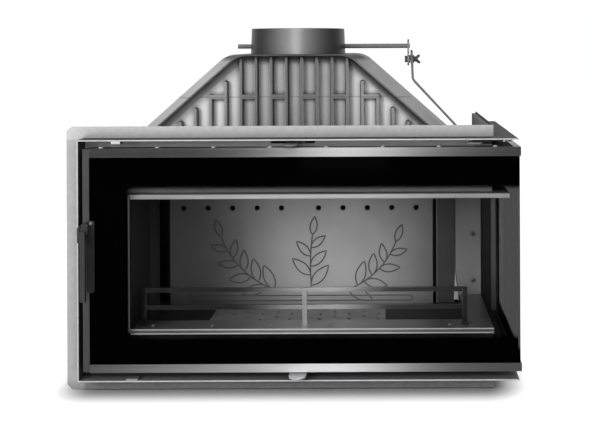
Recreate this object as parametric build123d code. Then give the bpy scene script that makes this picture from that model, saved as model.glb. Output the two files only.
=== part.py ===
from build123d import *
import math
import os

# Cast-iron fireplace insert: front glass and right side glass in one L-shaped door, ribbed smoke hood,
# 200 mm flue collar with a damper, and a sheet steel mounting frame round the front and the right side.
# Millimetres. X to the right, Y to the back, Z up. The origin is on the floor, under the flue's axis.

# ---------------------------------------------------------------- driving dimensions
# castings of the firebox
body_half_width = 389.5
body_front = -200.0
body_back = 158.0
wall = 8.0
hearth_top = 85.0
rim_top = 114.0
ledge_depth = 49.0
chamber_top = 440.0
opening_drop = 64.0
lintel_rise = 60.0
left_return_width = 83.5
outer_rib_height = 12.0
outer_rib_width = 7.0
outer_rib_pitch = 46.0

# right rear column between the side opening and the back wall
column_width = 53.5
column_front = 33.0

# linings
liner_thickness = 6.0
liner_return_gap = 2.0
liner_split = -73.5
liner_end = 5.0
liner_joint = 0.5
liner_reach = 22.0
back_plate_front = 76.0
back_plate_drop = 45.0
back_hole_radius = 5.5
back_hole_height = 297.5
back_hole_first = 41.0
back_hole_edge = 36.5
back_hole_middle = -5.5
back_hole_count = 5
right_liner_width = 40.0
back_plate_gap = 5.0

# threshold, upper lip and baffle
threshold_thickness = 3.0
threshold_bead = 5.0
threshold_bead_rise = 4.0
threshold_bead_drop = 6.0
lip_thickness = 3.0
lip_hem = 9.0
lip_overhang = 30.5
lip_gap = 2.0
baffle_thickness = 10.0
baffle_bar_radius = 6.0
baffle_bar_y = -80.0
baffle_bar_drop = 28.0
baffle_overhang = 22.0

# grate and ash pan
grate_half_width = 183.0
grate_half_depth = 64.0
grate_thickness = 6.0
grate_seat = 9.0
grate_column_pitch = 30.7
grate_row_pitch = 36.0
grate_half_rows = 4
grate_slot_width = 8.0
grate_slot_length = 15.0
grate_slot_corner = 2.4
ash_pan_height = 48.0
ash_pan_sheet = 2.0
base_bottom = 6.0

# log guard
guard_left_inset = 15.0
guard_right_inset = 51.7
guard_post_width = 9.0
guard_post_depth = 6.0
guard_y = -177.0
guard_bar_height = 8.5
guard_bar_depth = 4.0
guard_low_bar = 146.0
guard_high_bar = 179.5
guard_end = 5.0
guard_foot = 14.0
guard_foot_thickness = 2.5

# air slides and their slots
slot_height = 4.5
slot_half_length = 42.0
low_slot_x = 20.0
low_slot_z = 39.3
high_slot_x = 8.5
high_slot_drop = 9.4
slide_sheet = 2.5
slide_half_length = 78.0
slide_plate_height = 18.0
slide_neck = 14.0
low_tongue_width = 32.0
high_tongue_width = 27.0
slide_tongue_reach = 24.0
slide_gap = 0.3
air_box_half_width = 118.0
air_box_depth = 34.0
air_box_height = 42.0

# smoke hood: a trapezoid with a proud slanted rim round a sunk, ribbed front
hood_side_gap = 8.5
hood_top_half = 137.0
hood_height = 191.0
hood_seam_rise = 104.0
hood_front = -112.0
hood_back = 146.0
hood_rim_depth = 30.0
hood_rim_inset = 24.5
hood_shoulder_radius = 52.0
hood_lip = 3.0
hood_panel_depth = 30.0
hood_panel_fillet = 26.0
hood_wall = 7.0
hood_rib_pitch = 30.8
hood_rib_pairs = 8
hood_rib_root = 9.5
hood_rib_crest = 5.0
hood_rib_height = 14.0
hood_rib_inset = 58.0
hood_crossbar_below = 3.2
hood_crossbar_above = 5.2
hood_foot_width = 20.0
hood_foot_thickness = 8.0

# flue collar and damper
collar_base_radius = 100.0
collar_rim_radius = 97.8
collar_bore_radius = 89.5
collar_socket_radius = 92.0
collar_socket_depth = 28.0
collar_height = 53.0
damper_rise = 16.0
damper_shaft_radius = 4.75
damper_shaft_left = -128.0
damper_disc_gap = 2.0
damper_disc_thickness = 4.0
damper_boss_radius = 7.5
lever_left = 232.0
lever_thickness = 3.5
lever_width = 15.0
lever_up = 14.0
lever_down = 41.5
lever_arm = 28.0
clamp_bolt_radius = 3.0
clamp_head_width = 12.0
clamp_head_length = 5.5
clamp_washer_radius = 8.0
clamp_washer_thickness = 2.5
clamp_spacer = 3.2
wing_hub_radius = 5.5
wing_hub_length = 8.0
wing_span = 15.0
wing_sheet = 2.2
wing_turn = 35.0

# pull rod from the damper lever down to the gap above the door
pull_rod_radius = 2.5
pull_rod_back = 20.0
pull_rod_slope = 0.55
pull_rod_knee_y = -85.0
pull_rod_side = 42.0
pull_rod_drop = 6.0
pull_rod_low_knee_y = -160.0
pull_rod_end_y = -236.0
pull_rod_bend = 20.0
pull_tab_width = 29.0
pull_tab_depth = 20.0
pull_tab_sheet = 2.6
pull_tab_offset = 5.0
pull_gap_width = 13.0
pull_gap_below = 6.5

# mounting frame of angle profiles
frame_sheet = 2.5
frame_reveal = 42.0
frame_top_flange = 24.5
frame_top_drop = 21.0
frame_bottom_z = 31.5
frame_floor_gap = 2.0
frame_left_flange = 32.5
frame_side_reveal = 42.5
frame_back = 150.0
frame_corner_cut = 9.0
lug_width = 17.0
lug_depth = 18.0
lug_inset = 73.0
lug_drop = 5.0
low_lug_width = 22.0
low_lug_inset = 91.0
low_lug_height = 3.5
low_lug_reach = 1.0
corner_bolt_side = 17.0
corner_bolt_inset = 10.0
corner_bolt_radius = 4.5
corner_bolt_head = 4.0

# door leaf
door_left_inset = 9.0
door_side_gap = 6.5
door_bottom_gap = 16.8
door_top_gap = 14.5
door_back = 130.0
door_front = -242.0
door_thickness = 36.0
side_leaf_thickness = 41.5
top_rail_height = 15.5
bottom_rail_height = 13.9
stile_width = 12.0
rear_stile_depth = 32.0
rail_sheet = 3.0
glass_thickness = 4.0
glass_cover = 11.0
glass_side_gap = 0.8
gasket_thickness = 3.0
gasket_width = 8.0
trim_sheet = 1.5
trim_flange = 14.0
trim_screw_left_inset = 32.7
trim_screw_right_inset = 46.1
trim_screw_count = 8
side_screw_count = 3
trim_screw_radius = 4.0
trim_screw_head = 2.0
seal_width = 10.0
seal_gap = 0.3
seal_inset = 2.0

# hinge
hinge_inset = 19.0
hinge_y = 120.0
hinge_pin_radius = 5.0
hinge_pin_seat = 26.0
hinge_pin_reach = 11.0
hinge_block_half = 17.0
hinge_washer_radius = 9.0
hinge_play = 2.0

# handle with its latch tail
handle_axis_y = -250.0
handle_axis_z = 316.0
handle_pin_radius = 3.0
handle_hub_radius = 6.5
handle_plate = 4.0
handle_gap = 2.0
handle_block_height = 20.0
handle_block_reach = 10.0
handle_tail_end = -206.0
handle_tail_height = 10.0
grip_width = 11.0
grip_depth = 9.0
grip_inset = 2.6
grip_length = 129.0
grip_rise = 0.6
grip_axis_y = -268.0
crosspiece_height = 10.0
crosspiece_depth = 7.0
crosspiece_drop = 14.0
keeper_radius = 3.5
keeper_y = -214.0
keeper_gap = 1.5

# small fasteners
liner_screw_radius = 4.0
liner_screw_head = 2.5
threshold_screw_left_inset = 33.6
threshold_screw_right_inset = 81.4
threshold_screw_count = 6
threshold_screw_y = -186.0
column_screw_inset = 17.5
column_screw_low = 147.5
column_screw_pitch = 100.0
hood_bolt_width = 13.0
hood_bolt_head = 6.0

# named clearances
running = 0.05
seat = 0.3

# ---------------------------------------------------------------- derived places
inner_right = body_half_width - wall
inner_left = -inner_right
inner_back = body_back - wall
front_inner = body_front + wall
ledge_back = body_front + ledge_depth
column_left = body_half_width - column_width
opening_top = chamber_top - opening_drop
top_plate_top = chamber_top + wall
floor_bottom = hearth_top - wall
threshold_top = rim_top + threshold_thickness
liner_left = -body_half_width + left_return_width + liner_return_gap
liner_right = liner_left + liner_thickness
right_liner_left = column_left - right_liner_width
back_plate_left = liner_right + back_plate_gap
back_plate_right = right_liner_left - wall
back_plate_top = chamber_top - back_plate_drop
back_hole_last = back_plate_right - back_hole_edge - back_hole_middle
baffle_bar_z = chamber_top - baffle_bar_drop
liner_front = body_front - liner_reach
lip_bottom = opening_top - lip_thickness
lip_right = body_half_width + lip_overhang
lip_back = baffle_bar_y - baffle_overhang - lip_gap
lintel_top = chamber_top + lintel_rise
frame_top_z = lintel_top - frame_top_drop
high_slot_z = frame_top_z - high_slot_drop
air_box_top = top_plate_top + air_box_height
frame_front = body_front - frame_reveal
frame_face = body_front - frame_sheet
frame_left_x = -body_half_width - frame_sheet
frame_right_x = body_half_width + frame_sheet
frame_out = frame_right_x + frame_side_reveal
door_left = -body_half_width + door_left_inset
door_bottom = frame_bottom_z + door_bottom_gap
door_top = frame_top_z - door_top_gap
side_leaf_in = body_half_width + door_side_gap
door_out = side_leaf_in + side_leaf_thickness
hinge_x = side_leaf_in + hinge_inset
door_leaf_back = door_front + door_thickness
trim_front = door_front - trim_sheet
trim_out = door_out + trim_sheet
glass_low = door_bottom + bottom_rail_height - glass_cover
glass_high = door_top - top_rail_height + glass_cover
glass_back = door_front + glass_thickness
gasket_back = glass_back + gasket_thickness
glass_out = door_out - glass_side_gap
side_gasket_in = glass_out - glass_thickness - gasket_thickness
hood_base_half = inner_right - hood_foot_width - hood_side_gap
hood_top = top_plate_top + hood_height
hood_seam = top_plate_top + hood_seam_rise
hood_panel_y = hood_front + hood_panel_depth
hood_slope = (hood_base_half - hood_top_half) / hood_height
collar_top = hood_top + collar_height
damper_axis_z = hood_top + damper_rise
lever_right = lever_left + lever_thickness
clamp_z = damper_axis_z - lever_arm
rod_x = lever_right + clamp_spacer + pull_rod_radius + running
damper_disc_radius = collar_bore_radius - damper_disc_gap
pull_rod_front_x = body_half_width - pull_rod_side
pull_rod_front_z = frame_top_z - pull_rod_drop
pull_gap_bottom = pull_rod_front_z - pull_gap_below
handle_plate_right = door_left - handle_gap
grip_left = door_left + grip_inset
grip_right = grip_left + grip_width
grip_y = (grip_axis_y - grip_depth / 2, grip_axis_y + grip_depth / 2)

parts = {}


# ---------------------------------------------------------------- shared shapes
def block(x, y, z):
    """Box between two limits on each axis."""
    centre = Pos((x[0] + x[1]) / 2, (y[0] + y[1]) / 2, (z[0] + z[1]) / 2)
    return centre * Box(x[1] - x[0], y[1] - y[0], z[1] - z[0])


def bar(start, direction, length, radius):
    """Round bar from a point, along a direction."""
    centre = (Align.CENTER, Align.CENTER, Align.MIN)
    return Plane(origin=start, z_dir=direction) * Cylinder(radius, length, align=centre)


def flats_bar(start, direction, length, across_flats, flats=12):
    """Bar with flat sides from a point, along a direction, for hexagon heads and small round things."""
    outline = RegularPolygon(across_flats / 2, flats, major_radius=False)
    return extrude(Plane(origin=start, z_dir=direction) * outline, length)


def corner_strip(left, right, front, back, front_depth, side_depth, z):
    """L-shaped strip in plan that runs along the front and back along the right side."""
    points = [
        (left, front),
        (right, front),
        (right, back),
        (right - side_depth, back),
        (right - side_depth, front + front_depth),
        (left, front + front_depth),
    ]
    face = make_face(Polyline(*points, close=True))
    return Pos(0, 0, z[0]) * extrude(face, z[1] - z[0])


def side_profile(points, x):
    """Plate between two X limits, from its outline in Y and Z."""
    face = make_face(Polyline(*points, close=True))
    return Plane.YZ.offset(x[0]) * extrude(face, x[1] - x[0])


def front_outline(points, y, radius=0.0):
    """Outline in X and Z, as a face at one Y, with its two top corners rounded."""
    face = make_face(Polyline(*points, close=True))
    if radius:
        face = fillet(face.vertices().group_by(Axis.Y)[-1], radius)
    return Plane.XZ.offset(-y) * face


def front_prism(points, y, radius=0.0):
    """Prism between two Y limits, from its outline in X and Z."""
    return extrude(front_outline(points, y[1], radius), y[1] - y[0])


def rib_row(first, last, pitch):
    """Evenly spaced places between two limits, centred between them."""
    count = int((last - first) / pitch)
    start = (first + last - count * pitch) / 2
    return [start + i * pitch for i in range(count + 1)]


def evenly(first, last, count):
    """Places at equal steps from the first to the last."""
    return [first + i * (last - first) / (count - 1) for i in range(count)]


# ---------------------------------------------------------------- firebox castings
def base_casting():
    """Tub with the hearth floor, the raised front and right ledges and the ash chamber under them."""
    outer = block((-body_half_width, body_half_width), (body_front, body_back), (0, rim_top))
    ash_room = block((inner_left, inner_right), (front_inner, inner_back), (base_bottom, floor_bottom))
    ledge_inner = ledge_back - wall
    hearth = block((inner_left, column_left + wall), (ledge_back, inner_back), (hearth_top, rim_top))
    duct = block((inner_left, inner_right), (front_inner, ledge_inner), (hearth_top, rim_top - wall))
    side_duct = block(
        (column_left + 2 * wall, inner_right), (ledge_back, inner_back), (hearth_top, rim_top - wall)
    )
    tub = outer - ash_room - hearth - duct - side_duct
    grate_rebate = block(
        (-grate_half_width - seat, grate_half_width + seat),
        (-grate_half_depth - seat, grate_half_depth + seat),
        (hearth_top - grate_thickness, hearth_top),
    )
    ash_mouth = block(
        (-grate_half_width + grate_seat, grate_half_width - grate_seat),
        (-grate_half_depth + grate_seat, grate_half_depth - grate_seat),
        (floor_bottom, hearth_top),
    )
    return tub - grate_rebate - ash_mouth - air_slot(low_slot_x, low_slot_z)


def air_slot(x, z):
    """Opening through the front wall that a slide's tongue reaches out of."""
    return block(
        (x - slot_half_length, x + slot_half_length), (body_front, front_inner), (z, z + slot_height)
    )


def left_casting():
    """Left wall with ribs outside and the narrow front face beside the opening."""
    side = block((-body_half_width, inner_left), (front_inner, inner_back), (rim_top, chamber_top))
    return_right = -body_half_width + left_return_width
    face = block((-body_half_width, return_right), (body_front, front_inner), (rim_top, opening_top))
    shape = side + face
    rib_room = (rim_top + wall, chamber_top - wall)
    for y in rib_row(front_inner + 2 * wall, inner_back - 2 * wall, outer_rib_pitch):
        shape += block(
            (-body_half_width - outer_rib_height, -body_half_width),
            (y - outer_rib_width / 2, y + outer_rib_width / 2),
            rib_room,
        )
    return shape


def rear_casting():
    """Back wall with ribs outside."""
    shape = block((-body_half_width, body_half_width), (inner_back, body_back), (rim_top, chamber_top))
    rib_room = (rim_top + wall, chamber_top - wall)
    for x in rib_row(inner_left + wall, inner_right - wall, outer_rib_pitch):
        shape += block(
            (x - outer_rib_width / 2, x + outer_rib_width / 2),
            (body_back, body_back + outer_rib_height),
            rib_room,
        )
    return shape


def right_column():
    """Post behind the side opening, open towards the back wall."""
    outer = block((column_left, body_half_width), (column_front, inner_back), (rim_top, opening_top))
    hollow = block(
        (column_left + wall, inner_right), (column_front + wall, inner_back), (rim_top, opening_top - wall)
    )
    return outer - hollow


def front_lintel():
    """Beam over the front opening, with a foot inside."""
    width = (-body_half_width, body_half_width)
    face = block(width, (body_front, front_inner), (opening_top, pull_gap_bottom))
    foot = block((inner_left, inner_right), (front_inner, ledge_back), (opening_top, opening_top + wall))
    return face + foot


def air_box():
    """Strip on the lintel with the upper slide's air box behind it, which ends beside the pull rod."""
    strip = block(
        (-body_half_width, pull_rod_front_x - pull_gap_width / 2),
        (body_front, front_inner),
        (pull_gap_bottom, lintel_top),
    )
    box_x = (high_slot_x - air_box_half_width, high_slot_x + air_box_half_width)
    box_back = front_inner + air_box_depth
    box = block(box_x, (front_inner, box_back), (top_plate_top, air_box_top))
    room = block(
        (box_x[0] + wall, box_x[1] - wall),
        (front_inner, box_back - wall),
        (top_plate_top, air_box_top - wall),
    )
    return strip + (box - room) - air_slot(high_slot_x, high_slot_z)


def side_lintel():
    """Beam over the side opening, turned round the front corner as far as the pull rod."""
    side = block((inner_right, body_half_width), (front_inner, inner_back), (opening_top, lintel_top))
    corner = block(
        (pull_rod_front_x + pull_gap_width / 2, body_half_width),
        (body_front, front_inner),
        (pull_gap_bottom, lintel_top),
    )
    return side + corner


def top_plate():
    """Plate that closes the firebox and opens into the hood and the air box."""
    plate = block((-body_half_width, inner_right), (front_inner, body_back), (chamber_top, top_plate_top))
    throat = block(
        (-hood_base_half + 2 * hood_wall + hood_rim_inset, hood_base_half - 2 * hood_wall - hood_rim_inset),
        (hood_panel_y + 2 * hood_wall, hood_back - 2 * hood_wall),
        (chamber_top, top_plate_top),
    )
    air_hole = block(
        (high_slot_x - air_box_half_width + 2 * wall, high_slot_x + air_box_half_width - 2 * wall),
        (front_inner + wall / 2, front_inner + air_box_depth - 2 * wall),
        (chamber_top, top_plate_top),
    )
    return plate - throat - air_hole


# ---------------------------------------------------------------- smoke hood
def hood_points(half_base, half_top, low, high):
    """Trapezoid's corners in X and Z."""
    return [(-half_base, low), (half_base, low), (half_top, high), (-half_top, high)]


def hood_outside():
    """Slanted rim in front of a straight body with the same outline."""
    outer = hood_points(hood_base_half, hood_top_half, top_plate_top, hood_top)
    ridge = hood_points(
        hood_base_half - hood_rim_inset, hood_top_half - hood_rim_inset, top_plate_top, hood_top
    )
    rim_y = hood_front + hood_rim_depth
    front = front_outline(ridge, hood_front, hood_shoulder_radius)
    back = front_outline(outer, rim_y, hood_shoulder_radius)
    return loft([front, back], ruled=True) + front_prism(outer, (rim_y, hood_back), hood_shoulder_radius)


def hood_recess():
    """Space sunk into the front, with a large round along the foot of its edge."""
    side = hood_rim_inset + hood_lip * math.hypot(1, hood_slope)
    high = hood_top - hood_lip
    low = top_plate_top - 4 * hood_panel_depth
    half_low = hood_base_half - side + hood_slope * (top_plate_top - low)
    half_high = hood_top_half - side + hood_slope * hood_lip
    points = hood_points(half_low, half_high, low, high)
    recess = front_prism(points, (hood_front, hood_panel_y), hood_shoulder_radius - hood_lip)
    foot = recess.faces().sort_by(Axis.Y)[-1]
    recess = fillet(foot.edges(), hood_panel_fillet)
    return recess & block(
        (-hood_base_half, hood_base_half), (hood_front, hood_panel_y), (top_plate_top, hood_top)
    )


def hood_rib(x):
    """Upright rib with slanted flanks and round ends; the outer ones end short of the slanted rim."""
    high = top_plate_top + (hood_base_half - hood_rib_inset - abs(x)) / hood_slope
    if abs(x) < hood_top_half - hood_panel_fillet:
        high = hood_top + hood_rib_root
    low = top_plate_top - hood_rib_root
    outline = SlotOverall(high - low, hood_rib_root, rotation=90)
    face = Plane.XZ.offset(-hood_panel_y) * Pos(x, (low + high) / 2) * outline
    flank = math.degrees(math.atan2(hood_rib_root - hood_rib_crest, 2 * hood_rib_height))
    return extrude(face, hood_rib_height, taper=flank)


def hood_ribs():
    """Row of ribs, joined in pairs by cross bars at the seam, kept to the sunk front."""
    places = [(i + 0.5) * hood_rib_pitch for i in range(-hood_rib_pairs, hood_rib_pairs)]
    row = Part() + [hood_rib(x) for x in places]
    bar_y = (hood_panel_y - hood_rib_height, hood_panel_y)
    bar_z = (hood_seam - hood_crossbar_below, hood_seam + hood_crossbar_above)
    for i in range(2, 2 * hood_rib_pairs - 2, 2):
        row += block((places[i], places[i + 1]), bar_y, bar_z)
    return row


def hood_inside():
    """Smoke chamber inside the hood and its round way up into the collar."""
    side = hood_wall * math.hypot(1, hood_slope)
    half_high = hood_top_half - side + hood_slope * hood_wall
    points = hood_points(hood_base_half - side, half_high, top_plate_top, hood_top - hood_wall)
    front = hood_panel_y + hood_wall
    room = front_prism(points, (front, hood_back - hood_wall), hood_shoulder_radius - hood_wall)
    throat = bar((0, 0, top_plate_top), (0, 0, 1), hood_height, collar_bore_radius)
    front_limit = block((-hood_base_half, hood_base_half), (front, hood_back), (top_plate_top, hood_top))
    return room + (throat & front_limit)


def hood_castings():
    """Lower and upper hood castings, which meet at the seam."""
    recess = hood_recess()
    whole = hood_outside() - recess
    whole += hood_ribs() & recess
    foot_half = hood_base_half + hood_foot_width
    rim_y = hood_front + hood_rim_depth
    whole += block(
        (-foot_half, foot_half), (rim_y, hood_back), (top_plate_top, top_plate_top + hood_foot_thickness)
    )
    whole -= hood_inside()
    reach = (-2 * hood_base_half, 2 * hood_base_half)
    low = block(reach, reach, (0, hood_seam))
    high = block(reach, reach, (hood_seam, 2 * hood_top))
    return whole & low, whole & high


def hood_bolt_places():
    """Bolts through the hood's foot on its two sides."""
    x = hood_base_half + hood_foot_width / 2
    ys = [hood_front + hood_rim_depth + hood_foot_width, hood_back - hood_foot_width]
    return [(side * x, y) for side in (-1, 1) for y in ys]


# ---------------------------------------------------------------- flue collar and damper
def flue_collar():
    """Slightly tapered cast collar with the two holes of the damper shaft."""
    middle = Pos(0, 0, hood_top + collar_height / 2)
    cone = middle * Cone(collar_base_radius, collar_rim_radius, collar_height)
    bore = bar((0, 0, hood_top), (0, 0, 1), collar_height, collar_bore_radius)
    socket_start = (0, 0, collar_top - collar_socket_depth)
    socket = bar(socket_start, (0, 0, 1), collar_socket_depth, collar_socket_radius)
    reach = 2 * collar_base_radius
    hole_width = 2 * (damper_shaft_radius + running)
    cross = flats_bar((-reach, 0, damper_axis_z), (1, 0, 0), 2 * reach, hole_width)
    return cone - bore - socket - cross


def damper_shaft():
    length = lever_right + lever_thickness / 2 - damper_shaft_left
    return bar((damper_shaft_left, 0, damper_axis_z), (1, 0, 0), length, damper_shaft_radius)


def damper_disc():
    """Round valve plate with the boss that the shaft goes through."""
    disc = Pos(0, 0, damper_axis_z) * Cylinder(damper_disc_radius, damper_disc_thickness)
    half = damper_disc_radius - damper_boss_radius
    boss = flats_bar((-half, 0, damper_axis_z), (1, 0, 0), 2 * half, 2 * damper_boss_radius, 8)
    reach = 2 * damper_disc_radius
    bore = bar((-reach, 0, damper_axis_z), (1, 0, 0), 2 * reach, damper_shaft_radius)
    return disc + boss - bore


def damper_lever():
    """Flat lever on the shaft's end, with the hole of the clamp bolt."""
    middle = damper_axis_z + (lever_up - lever_down) / 2
    outline = RectangleRounded(lever_width, lever_up + lever_down, lever_width / 3)
    plate = extrude(Plane.YZ.offset(lever_left) * Pos(0, middle) * outline, lever_thickness)
    shaft_hole = bar((lever_left, 0, damper_axis_z), (1, 0, 0), lever_thickness, damper_shaft_radius)
    bolt_hole = flats_bar((lever_left, 0, clamp_z), (1, 0, 0), lever_thickness, 2 * clamp_bolt_radius)
    return plate - shaft_hole - bolt_hole


def clamp_bolt():
    head_start = (lever_left - clamp_head_length, 0, clamp_z)
    head = flats_bar(head_start, (1, 0, 0), clamp_head_length, clamp_head_width, 6)
    shank_end = clamp_outer_face() + clamp_washer_thickness + wing_hub_length
    return head + bar((lever_left, 0, clamp_z), (1, 0, 0), shank_end - lever_left, clamp_bolt_radius)


def clamp_outer_face():
    """Where the outer washer starts, past the pull rod."""
    return rod_x + pull_rod_radius + running


def clamp_washers():
    """Spacer between lever and rod, and the washer under the wing nut."""
    width = 2 * clamp_washer_radius
    spacer = flats_bar((lever_right, 0, clamp_z), (1, 0, 0), clamp_spacer, width)
    outer = flats_bar((clamp_outer_face(), 0, clamp_z), (1, 0, 0), clamp_washer_thickness, width)
    hole = flats_bar((lever_left, 0, clamp_z), (1, 0, 0), 4 * lever_width, 2 * clamp_bolt_radius)
    return (spacer - hole) + (outer - hole)


def wing_nut():
    """Wing nut whose two wings lean out along the bolt."""
    start = clamp_outer_face() + clamp_washer_thickness
    hub = flats_bar((start, 0, clamp_z), (1, 0, 0), wing_hub_length, 2 * wing_hub_radius)
    shape = hub
    for side in (-1, 1):
        outline = [
            (wing_hub_length * 0.2, side * wing_hub_radius * 0.6),
            (wing_hub_length * 0.9, side * wing_span * 0.9),
            (wing_hub_length * 1.6, side * wing_span),
            (wing_hub_length * 1.5, side * wing_span * 0.6),
            (wing_hub_length * 0.9, side * wing_hub_radius * 0.6),
        ]
        face = make_face(Polyline(*outline, close=True))
        wing = Pos(0, 0, -wing_sheet / 2) * extrude(face, wing_sheet)
        shape += Pos(start, 0, clamp_z) * Rot(X=wing_turn) * wing
    bore = flats_bar((start, 0, clamp_z), (1, 0, 0), 2 * wing_hub_length, 2 * clamp_bolt_radius)
    return shape - bore


def pull_rod():
    """Bent rod beside the clamp bolt, down in front of the hood and out over the door, with its tab."""
    lean = math.hypot(1, pull_rod_slope)
    aside = clamp_bolt_radius + pull_rod_radius + running
    line_z = clamp_z + aside * lean
    points = [
        (rod_x, pull_rod_back, line_z + pull_rod_slope * pull_rod_back),
        (rod_x, pull_rod_knee_y, line_z + pull_rod_slope * pull_rod_knee_y),
        (pull_rod_front_x, pull_rod_low_knee_y, pull_rod_front_z),
        (pull_rod_front_x, pull_rod_end_y, pull_rod_front_z),
    ]
    path = FilletPolyline(*points, radius=pull_rod_bend)
    section = Plane(origin=path @ 0, z_dir=path % 0) * RegularPolygon(pull_rod_radius, 8)
    rod = sweep(section, path=path)
    tab_x = pull_rod_front_x + pull_tab_offset
    tab = Pos(tab_x, pull_rod_end_y, pull_rod_front_z) * extrude(
        RectangleRounded(pull_tab_width, pull_tab_depth, pull_tab_depth / 4), pull_tab_sheet / 2, both=True
    )
    return rod + tab


# ---------------------------------------------------------------- linings, hearth and guard
def threshold_plate():
    """Sheet on the front ledge with a raised bead along its front edge, and its leg on the right ledge."""
    front = liner_front
    plate = corner_strip(
        liner_left,
        body_half_width,
        front,
        column_front,
        ledge_back - front,
        body_half_width - column_left - wall,
        (rim_top, threshold_top),
    )
    bead = block(
        (liner_right, body_half_width),
        (front, front + threshold_bead),
        (rim_top - threshold_bead_drop + threshold_thickness, threshold_top + threshold_bead_rise),
    )
    return plate + bead


def upper_lip():
    """Air lip under the lintels, hemmed along its front and its right edge."""
    front = liner_front
    plate = corner_strip(
        liner_left,
        lip_right,
        front,
        column_front - seat,
        lip_back - front,
        lip_right - column_left,
        (lip_bottom, opening_top),
    )
    hem = corner_strip(
        liner_right + seat,
        lip_right,
        front,
        column_front - seat,
        lip_thickness,
        lip_thickness,
        (opening_top - lip_hem, lip_bottom),
    )
    return plate + hem


def left_liner_front():
    """Lining plate that stands on the threshold and the hearth."""
    end = liner_split - liner_joint / 2
    points = [
        (liner_front, threshold_top),
        (ledge_back, threshold_top),
        (ledge_back, hearth_top),
        (end, hearth_top),
        (end, lip_bottom),
        (liner_front, lip_bottom),
    ]
    return side_profile(points, (liner_left, liner_right))


def left_liner_rear():
    depth = (liner_split + liner_joint / 2, liner_end)
    return block((liner_left, liner_right), depth, (hearth_top, lip_bottom))


def back_plate():
    """Lining plate in front of the rear casting, with its row of air holes."""
    depth = (back_plate_front, back_plate_front + wall)
    plate = block((back_plate_left, back_plate_right), depth, (hearth_top, back_plate_top))
    for reach in evenly(back_hole_first, back_hole_last, back_hole_count):
        for side in (-1, 1):
            start = (back_hole_middle + side * reach, back_plate_front, back_hole_height)
            plate -= flats_bar(start, (0, 1, 0), wall, 2 * back_hole_radius)
    return plate


def right_liner():
    front = back_plate_front + wall
    width = (right_liner_left, column_left - seat)
    return block(width, (front, front + wall), (hearth_top, back_plate_top - wall))


def baffle_bar():
    """Round bar across the chamber that carries the baffle's front."""
    length = inner_right - inner_left
    return bar((inner_left, baffle_bar_y, baffle_bar_z), (1, 0, 0), length, baffle_bar_radius)


def smoke_baffle():
    """Plate that leans forward from the back plate's top edge onto its bar."""
    run = back_plate_front - baffle_bar_y
    rise = baffle_bar_z + baffle_bar_radius - back_plate_top
    lean = math.atan2(rise, run)
    length = run / math.cos(lean) + 2 * baffle_overhang
    middle_y = (back_plate_front + baffle_bar_y) / 2
    middle_z = (back_plate_top + baffle_bar_z + baffle_bar_radius) / 2
    lift = (baffle_thickness / 2 + wall * math.sin(lean) + seat) / math.cos(lean)
    plate = Box(inner_right - inner_left - 2 * wall, length, baffle_thickness)
    return Pos(0, middle_y, middle_z + lift) * Rot(X=-math.degrees(lean)) * plate


def grate():
    """Loose plate with staggered slots in upright columns."""
    plate = block(
        (-grate_half_width, grate_half_width),
        (-grate_half_depth, grate_half_depth),
        (hearth_top - grate_thickness + seat, hearth_top + seat),
    )
    columns = rib_row(-grate_half_width + grate_seat, grate_half_width - grate_seat, grate_column_pitch)
    slots = []
    for number, x in enumerate(columns):
        shift = 0.0 if number % 2 else grate_row_pitch / 2
        room = grate_half_depth - grate_slot_length
        rows = [shift + i * grate_row_pitch for i in range(-grate_half_rows, grate_half_rows)]
        slots += [Pos(x, y) * grate_slot() for y in rows if abs(y) <= room]
    return plate - (Part() + slots)


def grate_slot():
    oblong = Rectangle(grate_slot_width, grate_slot_length)
    face = chamfer(oblong.vertices(), grate_slot_corner)
    return Pos(0, 0, floor_bottom) * extrude(face, 2 * wall)


def ash_pan():
    """Open sheet tray on the base's bottom, under the grate."""
    x = grate_half_width - grate_seat - seat
    y = grate_half_depth - grate_seat - seat
    outer = block((-x, x), (-y, y), (base_bottom, base_bottom + ash_pan_height))
    inner = block(
        (-x + ash_pan_sheet, x - ash_pan_sheet),
        (-y + ash_pan_sheet, y - ash_pan_sheet),
        (base_bottom + ash_pan_sheet, base_bottom + ash_pan_height),
    )
    return outer - inner


def log_guard():
    """Two flat bars on three posts with feet, loose on the threshold."""
    foot_z = threshold_top + seat
    first, last = liner_right + guard_left_inset, body_half_width - guard_right_inset
    posts = [first, (first + last) / 2, last]
    bar_x = (posts[0] - guard_end, posts[-1] + guard_end)
    bar_y = (guard_y - guard_bar_depth / 2, guard_y + guard_bar_depth / 2)
    shape = Part()
    for x in posts:
        shape += block(
            (x - guard_post_width / 2, x + guard_post_width / 2),
            (guard_y - guard_post_depth / 2, guard_y + guard_post_depth / 2),
            (foot_z, guard_high_bar + guard_bar_height),
        )
        shape += block(
            (x - guard_foot / 2, x + guard_foot / 2),
            (guard_y - guard_foot / 2, guard_y + guard_foot / 2),
            (foot_z, foot_z + guard_foot_thickness),
        )
    for z in (guard_low_bar, guard_high_bar):
        shape += block(bar_x, bar_y, (z, z + guard_bar_height))
    return shape


def liner_screws():
    """Round-headed screws of the threshold and of the column's face, heads only on their seats."""
    shape = []
    first = liner_right + threshold_screw_left_inset
    last = body_half_width - threshold_screw_right_inset
    for x in evenly(first, last, threshold_screw_count):
        start = (x, threshold_screw_y, threshold_top)
        shape.append(flats_bar(start, (0, 0, 1), liner_screw_head, 2 * liner_screw_radius))
    for i in range(2):
        z = column_screw_low + i * column_screw_pitch
        start = (body_half_width - column_screw_inset, column_front, z)
        shape.append(flats_bar(start, (0, -1, 0), liner_screw_head, 2 * liner_screw_radius))
    return Compound(children=shape)


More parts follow.
